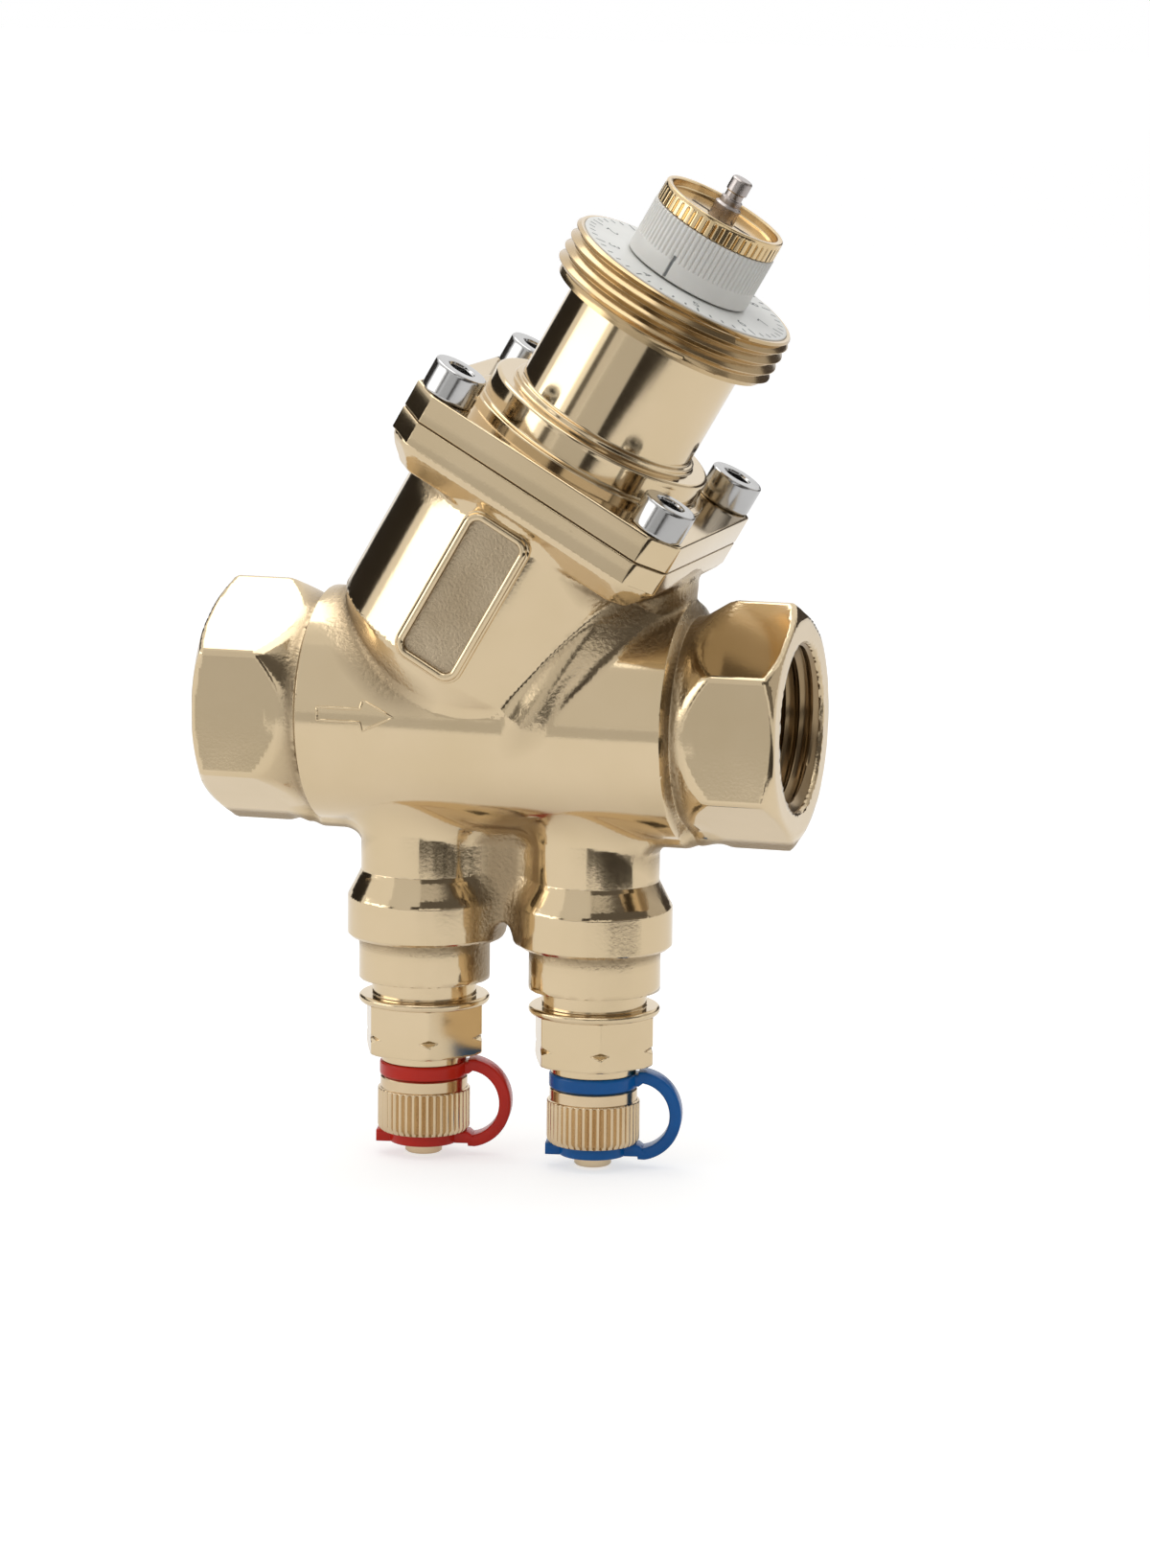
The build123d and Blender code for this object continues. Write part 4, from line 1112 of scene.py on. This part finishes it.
def floor_card(name, outline, ragged, shade):
    """Panel just above the floor with a torn edge, outline in millimetres."""
    rng = np.random.default_rng(5)
    corners = np.array(outline, float)
    points = []
    for start, end in zip(corners, np.roll(corners, -1, 0)):
        count = max(1, int(np.linalg.norm(end - start) / 4)) if ragged else 1
        for k in range(count):
            x, y = start + (end - start) * k / count + rng.normal(0, ragged, 2)
            points.append((x * MM, y * MM, (FLOOR_HEIGHT + 0.1) * MM))
    panel(name, points, [tuple(range(len(points)))], shade)


def seen_by(add, link, mirrored_share):
    """1 for the camera's rays, and a share of it for those of metal and glass."""
    path = add("ShaderNodeLightPath")
    mirrored = add("ShaderNodeMath", operation="ADD")
    link(path.outputs["Is Glossy Ray"], mirrored.inputs[0])
    link(path.outputs["Is Transmission Ray"], mirrored.inputs[1])
    seen = add("ShaderNodeMath", operation="MULTIPLY_ADD", use_clamp=True)
    seen.inputs[1].default_value = mirrored_share
    link(mirrored.outputs[0], seen.inputs[0])
    link(path.outputs["Is Camera Ray"], seen.inputs[2])
    return seen.outputs[0]


def make_world():
    """White where the camera, metal or glass see it, a plain grey level for what it lights."""
    world = bpy.data.worlds.new("studio")
    bpy.context.scene.world = world
    world.use_nodes = True
    world.node_tree.nodes.clear()
    add, link = node_tools(world.node_tree)
    white = add("ShaderNodeBackground", Color=(1, 1, 1, 1))
    room = add("ShaderNodeBackground", Color=(0.62, 0.62, 0.62, 1))
    mix = add("ShaderNodeMixShader")
    out = add("ShaderNodeOutputWorld")
    link(seen_by(add, link, 1.0), mix.inputs[0])
    link(room.outputs[0], mix.inputs[1])
    link(white.outputs[0], mix.inputs[2])
    link(mix.outputs[0], out.inputs[0])


def floor_material():
    """Pale grey that is lifted to white for the camera, and by less where metal or glass mirror it."""
    material = bpy.data.materials.new("floor_white")
    material.use_nodes = True
    add, link = node_tools(material.node_tree)
    shader = material.node_tree.nodes["Principled BSDF"]
    shade = ramp(add, 0.0, 1.0, (0.56, 0.56, 0.56), (0.60, 0.60, 0.60))
    link(add("ShaderNodeTexNoise", Scale=4.0).outputs["Fac"], shade.inputs["Fac"])
    link(shade.outputs["Color"], shader.inputs["Base Color"])
    shader.inputs["Roughness"].default_value = 0.9
    glow = add("ShaderNodeEmission", Color=(0.60, 0.60, 0.60, 1))
    nothing = add("ShaderNodeEmission", Strength=0.0)
    lift = add("ShaderNodeMixShader")
    link(seen_by(add, link, 0.7), lift.inputs[0])
    link(nothing.outputs[0], lift.inputs[1])
    link(glow.outputs[0], lift.inputs[2])
    both = add("ShaderNodeAddShader")
    link(shader.outputs[0], both.inputs[0])
    link(lift.outputs[0], both.inputs[1])
    link(both.outputs[0], material.node_tree.nodes["Material Output"].inputs[0])
    return material


def make_floor():
    """Pale floor just under the caps."""
    mesh = bpy.data.meshes.new("floor")
    size, low = 3.0, FLOOR_HEIGHT * MM
    corners = [(-size, -size, low), (size, -size, low), (size, size, low), (-size, size, low)]
    mesh.from_pydata(corners, [], [(0, 1, 2, 3)])
    floor = new_object("floor", mesh)
    mesh.materials.append(floor_material())


# Name, turns and rises in degrees, distance in metres and colour of each card round the object
CARDS = [
    ("left_black", (-143, -94), (2, 23), 2.0, (0.03, 0.026, 0.022)),
    ("left_grey", (-112, -43), (23, 60), 2.2, (0.98, 0.98, 0.97)),
    ("front_grey", (-43, 9), (-1.4, 60), 2.2, (0.76, 0.76, 0.75)),
    ("front_bright", (-46, -37.5), (-1.3, 20), 2.1, (1.3, 1.3, 1.28)),
    ("front_line", (-37.5, -31), (-1.3, 16), 2.1, (0.13, 0.12, 0.11)),
    ("front_pale", (9, 41), (-1.4, 14), 2.2, (0.85, 0.85, 0.84)),
    ("front_black", (-3, 9), (3, 32), 2.1, (0.07, 0.06, 0.055)),
    ("right_black", (9, 106), (14, 42), 2.2, (0.13, 0.12, 0.11)),
    ("right_low", (41, 106), (-1.4, 14), 2.2, (0.19, 0.175, 0.16)),
    ("right_high", (9, 106), (42, 60), 2.2, (0.66, 0.65, 0.63)),
    ("back_right", (106, 147), (-1.4, 40), 2.2, (0.57, 0.55, 0.52)),
    ("back_black", (147, 182), (-1.4, 15), 2.2, (0.07, 0.06, 0.055)),
    ("ceiling", (-112, 150), (60, 88), 2.4, (0.85, 0.85, 0.84)),
]


def make_studio():
    make_world()
    make_floor()
    soft_box("key_left", -64, 11.5, 1.6, 1.12, 0.44, 1.9, (1.0, 1.0, 0.98))
    soft_box("top", 10, 80, 0.62, 0.45, 0.45, 1.3, (1.0, 1.0, 0.99))
    soft_box("back_left", -139, 64, 0.8, 0.42, 0.34, 2.0, (1.0, 1.0, 0.99))
    for values in CARDS:
        card(*values)
    front = [(-700, -1900), (400, -1900), (82, -365), (60, -262), (-160, -280)]
    floor_card("floor_front", front, 0, (0.63, 0.63, 0.62))
    dark = [(50, -218), (75, -208), (100, -210), (118, -195), (132, -184), (144, -160), (165, -136)]
    dark += [(205, -86), (240, -10), (420, -60), (400, -420), (110, -520), (82, -365), (62, -262)]
    floor_card("floor_dark", dark, 1.3, (0.045, 0.04, 0.035))


def make_camera():
    """Camera from a fit to the photo's landmarks."""
    camera = bpy.data.cameras.new("camera")
    camera.sensor_width = 36.0
    camera.lens = 133.6
    camera.clip_start, camera.clip_end = 0.05, 20.0
    holder = new_object("camera", camera)
    around, above, roll = radians(16.707), radians(9.862), radians(0.519)
    to_right, down, distance = 17.18, 9.587, 728.81
    away = Vector((sin(around) * cos(above), -cos(around) * cos(above), sin(above)))
    right = Vector((cos(around), sin(around), 0))
    up = away.cross(right)
    right, up = right * cos(roll) + up * sin(roll), up * cos(roll) - right * sin(roll)
    place = (right * to_right - up * down + away * distance + Vector((CROSSING, 0, 0))) * MM
    holder.matrix_world = Matrix.Translation(place) @ Matrix((right, up, away)).transposed().to_4x4()
    bpy.context.scene.camera = holder


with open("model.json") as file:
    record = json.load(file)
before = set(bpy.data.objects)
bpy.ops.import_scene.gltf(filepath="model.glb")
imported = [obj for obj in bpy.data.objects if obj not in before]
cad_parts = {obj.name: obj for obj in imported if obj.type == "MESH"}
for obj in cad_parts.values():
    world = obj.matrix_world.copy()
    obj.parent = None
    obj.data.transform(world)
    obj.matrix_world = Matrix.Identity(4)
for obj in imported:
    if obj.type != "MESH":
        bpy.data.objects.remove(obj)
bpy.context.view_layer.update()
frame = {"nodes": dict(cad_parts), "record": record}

slot_of = {part["node"]: part["material_slot"] for part in frame["record"]["subparts"]}
for node_name, node in frame["nodes"].items():
    node.data.materials.clear()
    node.data.materials.append(MATERIALS[slot_of[node_name]])

make_body()
make_port_threads()
make_arrow()
make_bonnet()
make_screws()
make_scale()
make_dial()
make_lock_ring()
make_stem()
for number, place in enumerate(TEST_PLACES, start=1):
    spot = Matrix.Translation((place * MM, 0, 0))
    make_nipple(number, spot)
    make_cap(number, spot)
    make_strap(number, spot)

make_studio()
make_camera()
bpy.context.scene.view_settings.view_transform = "Standard"
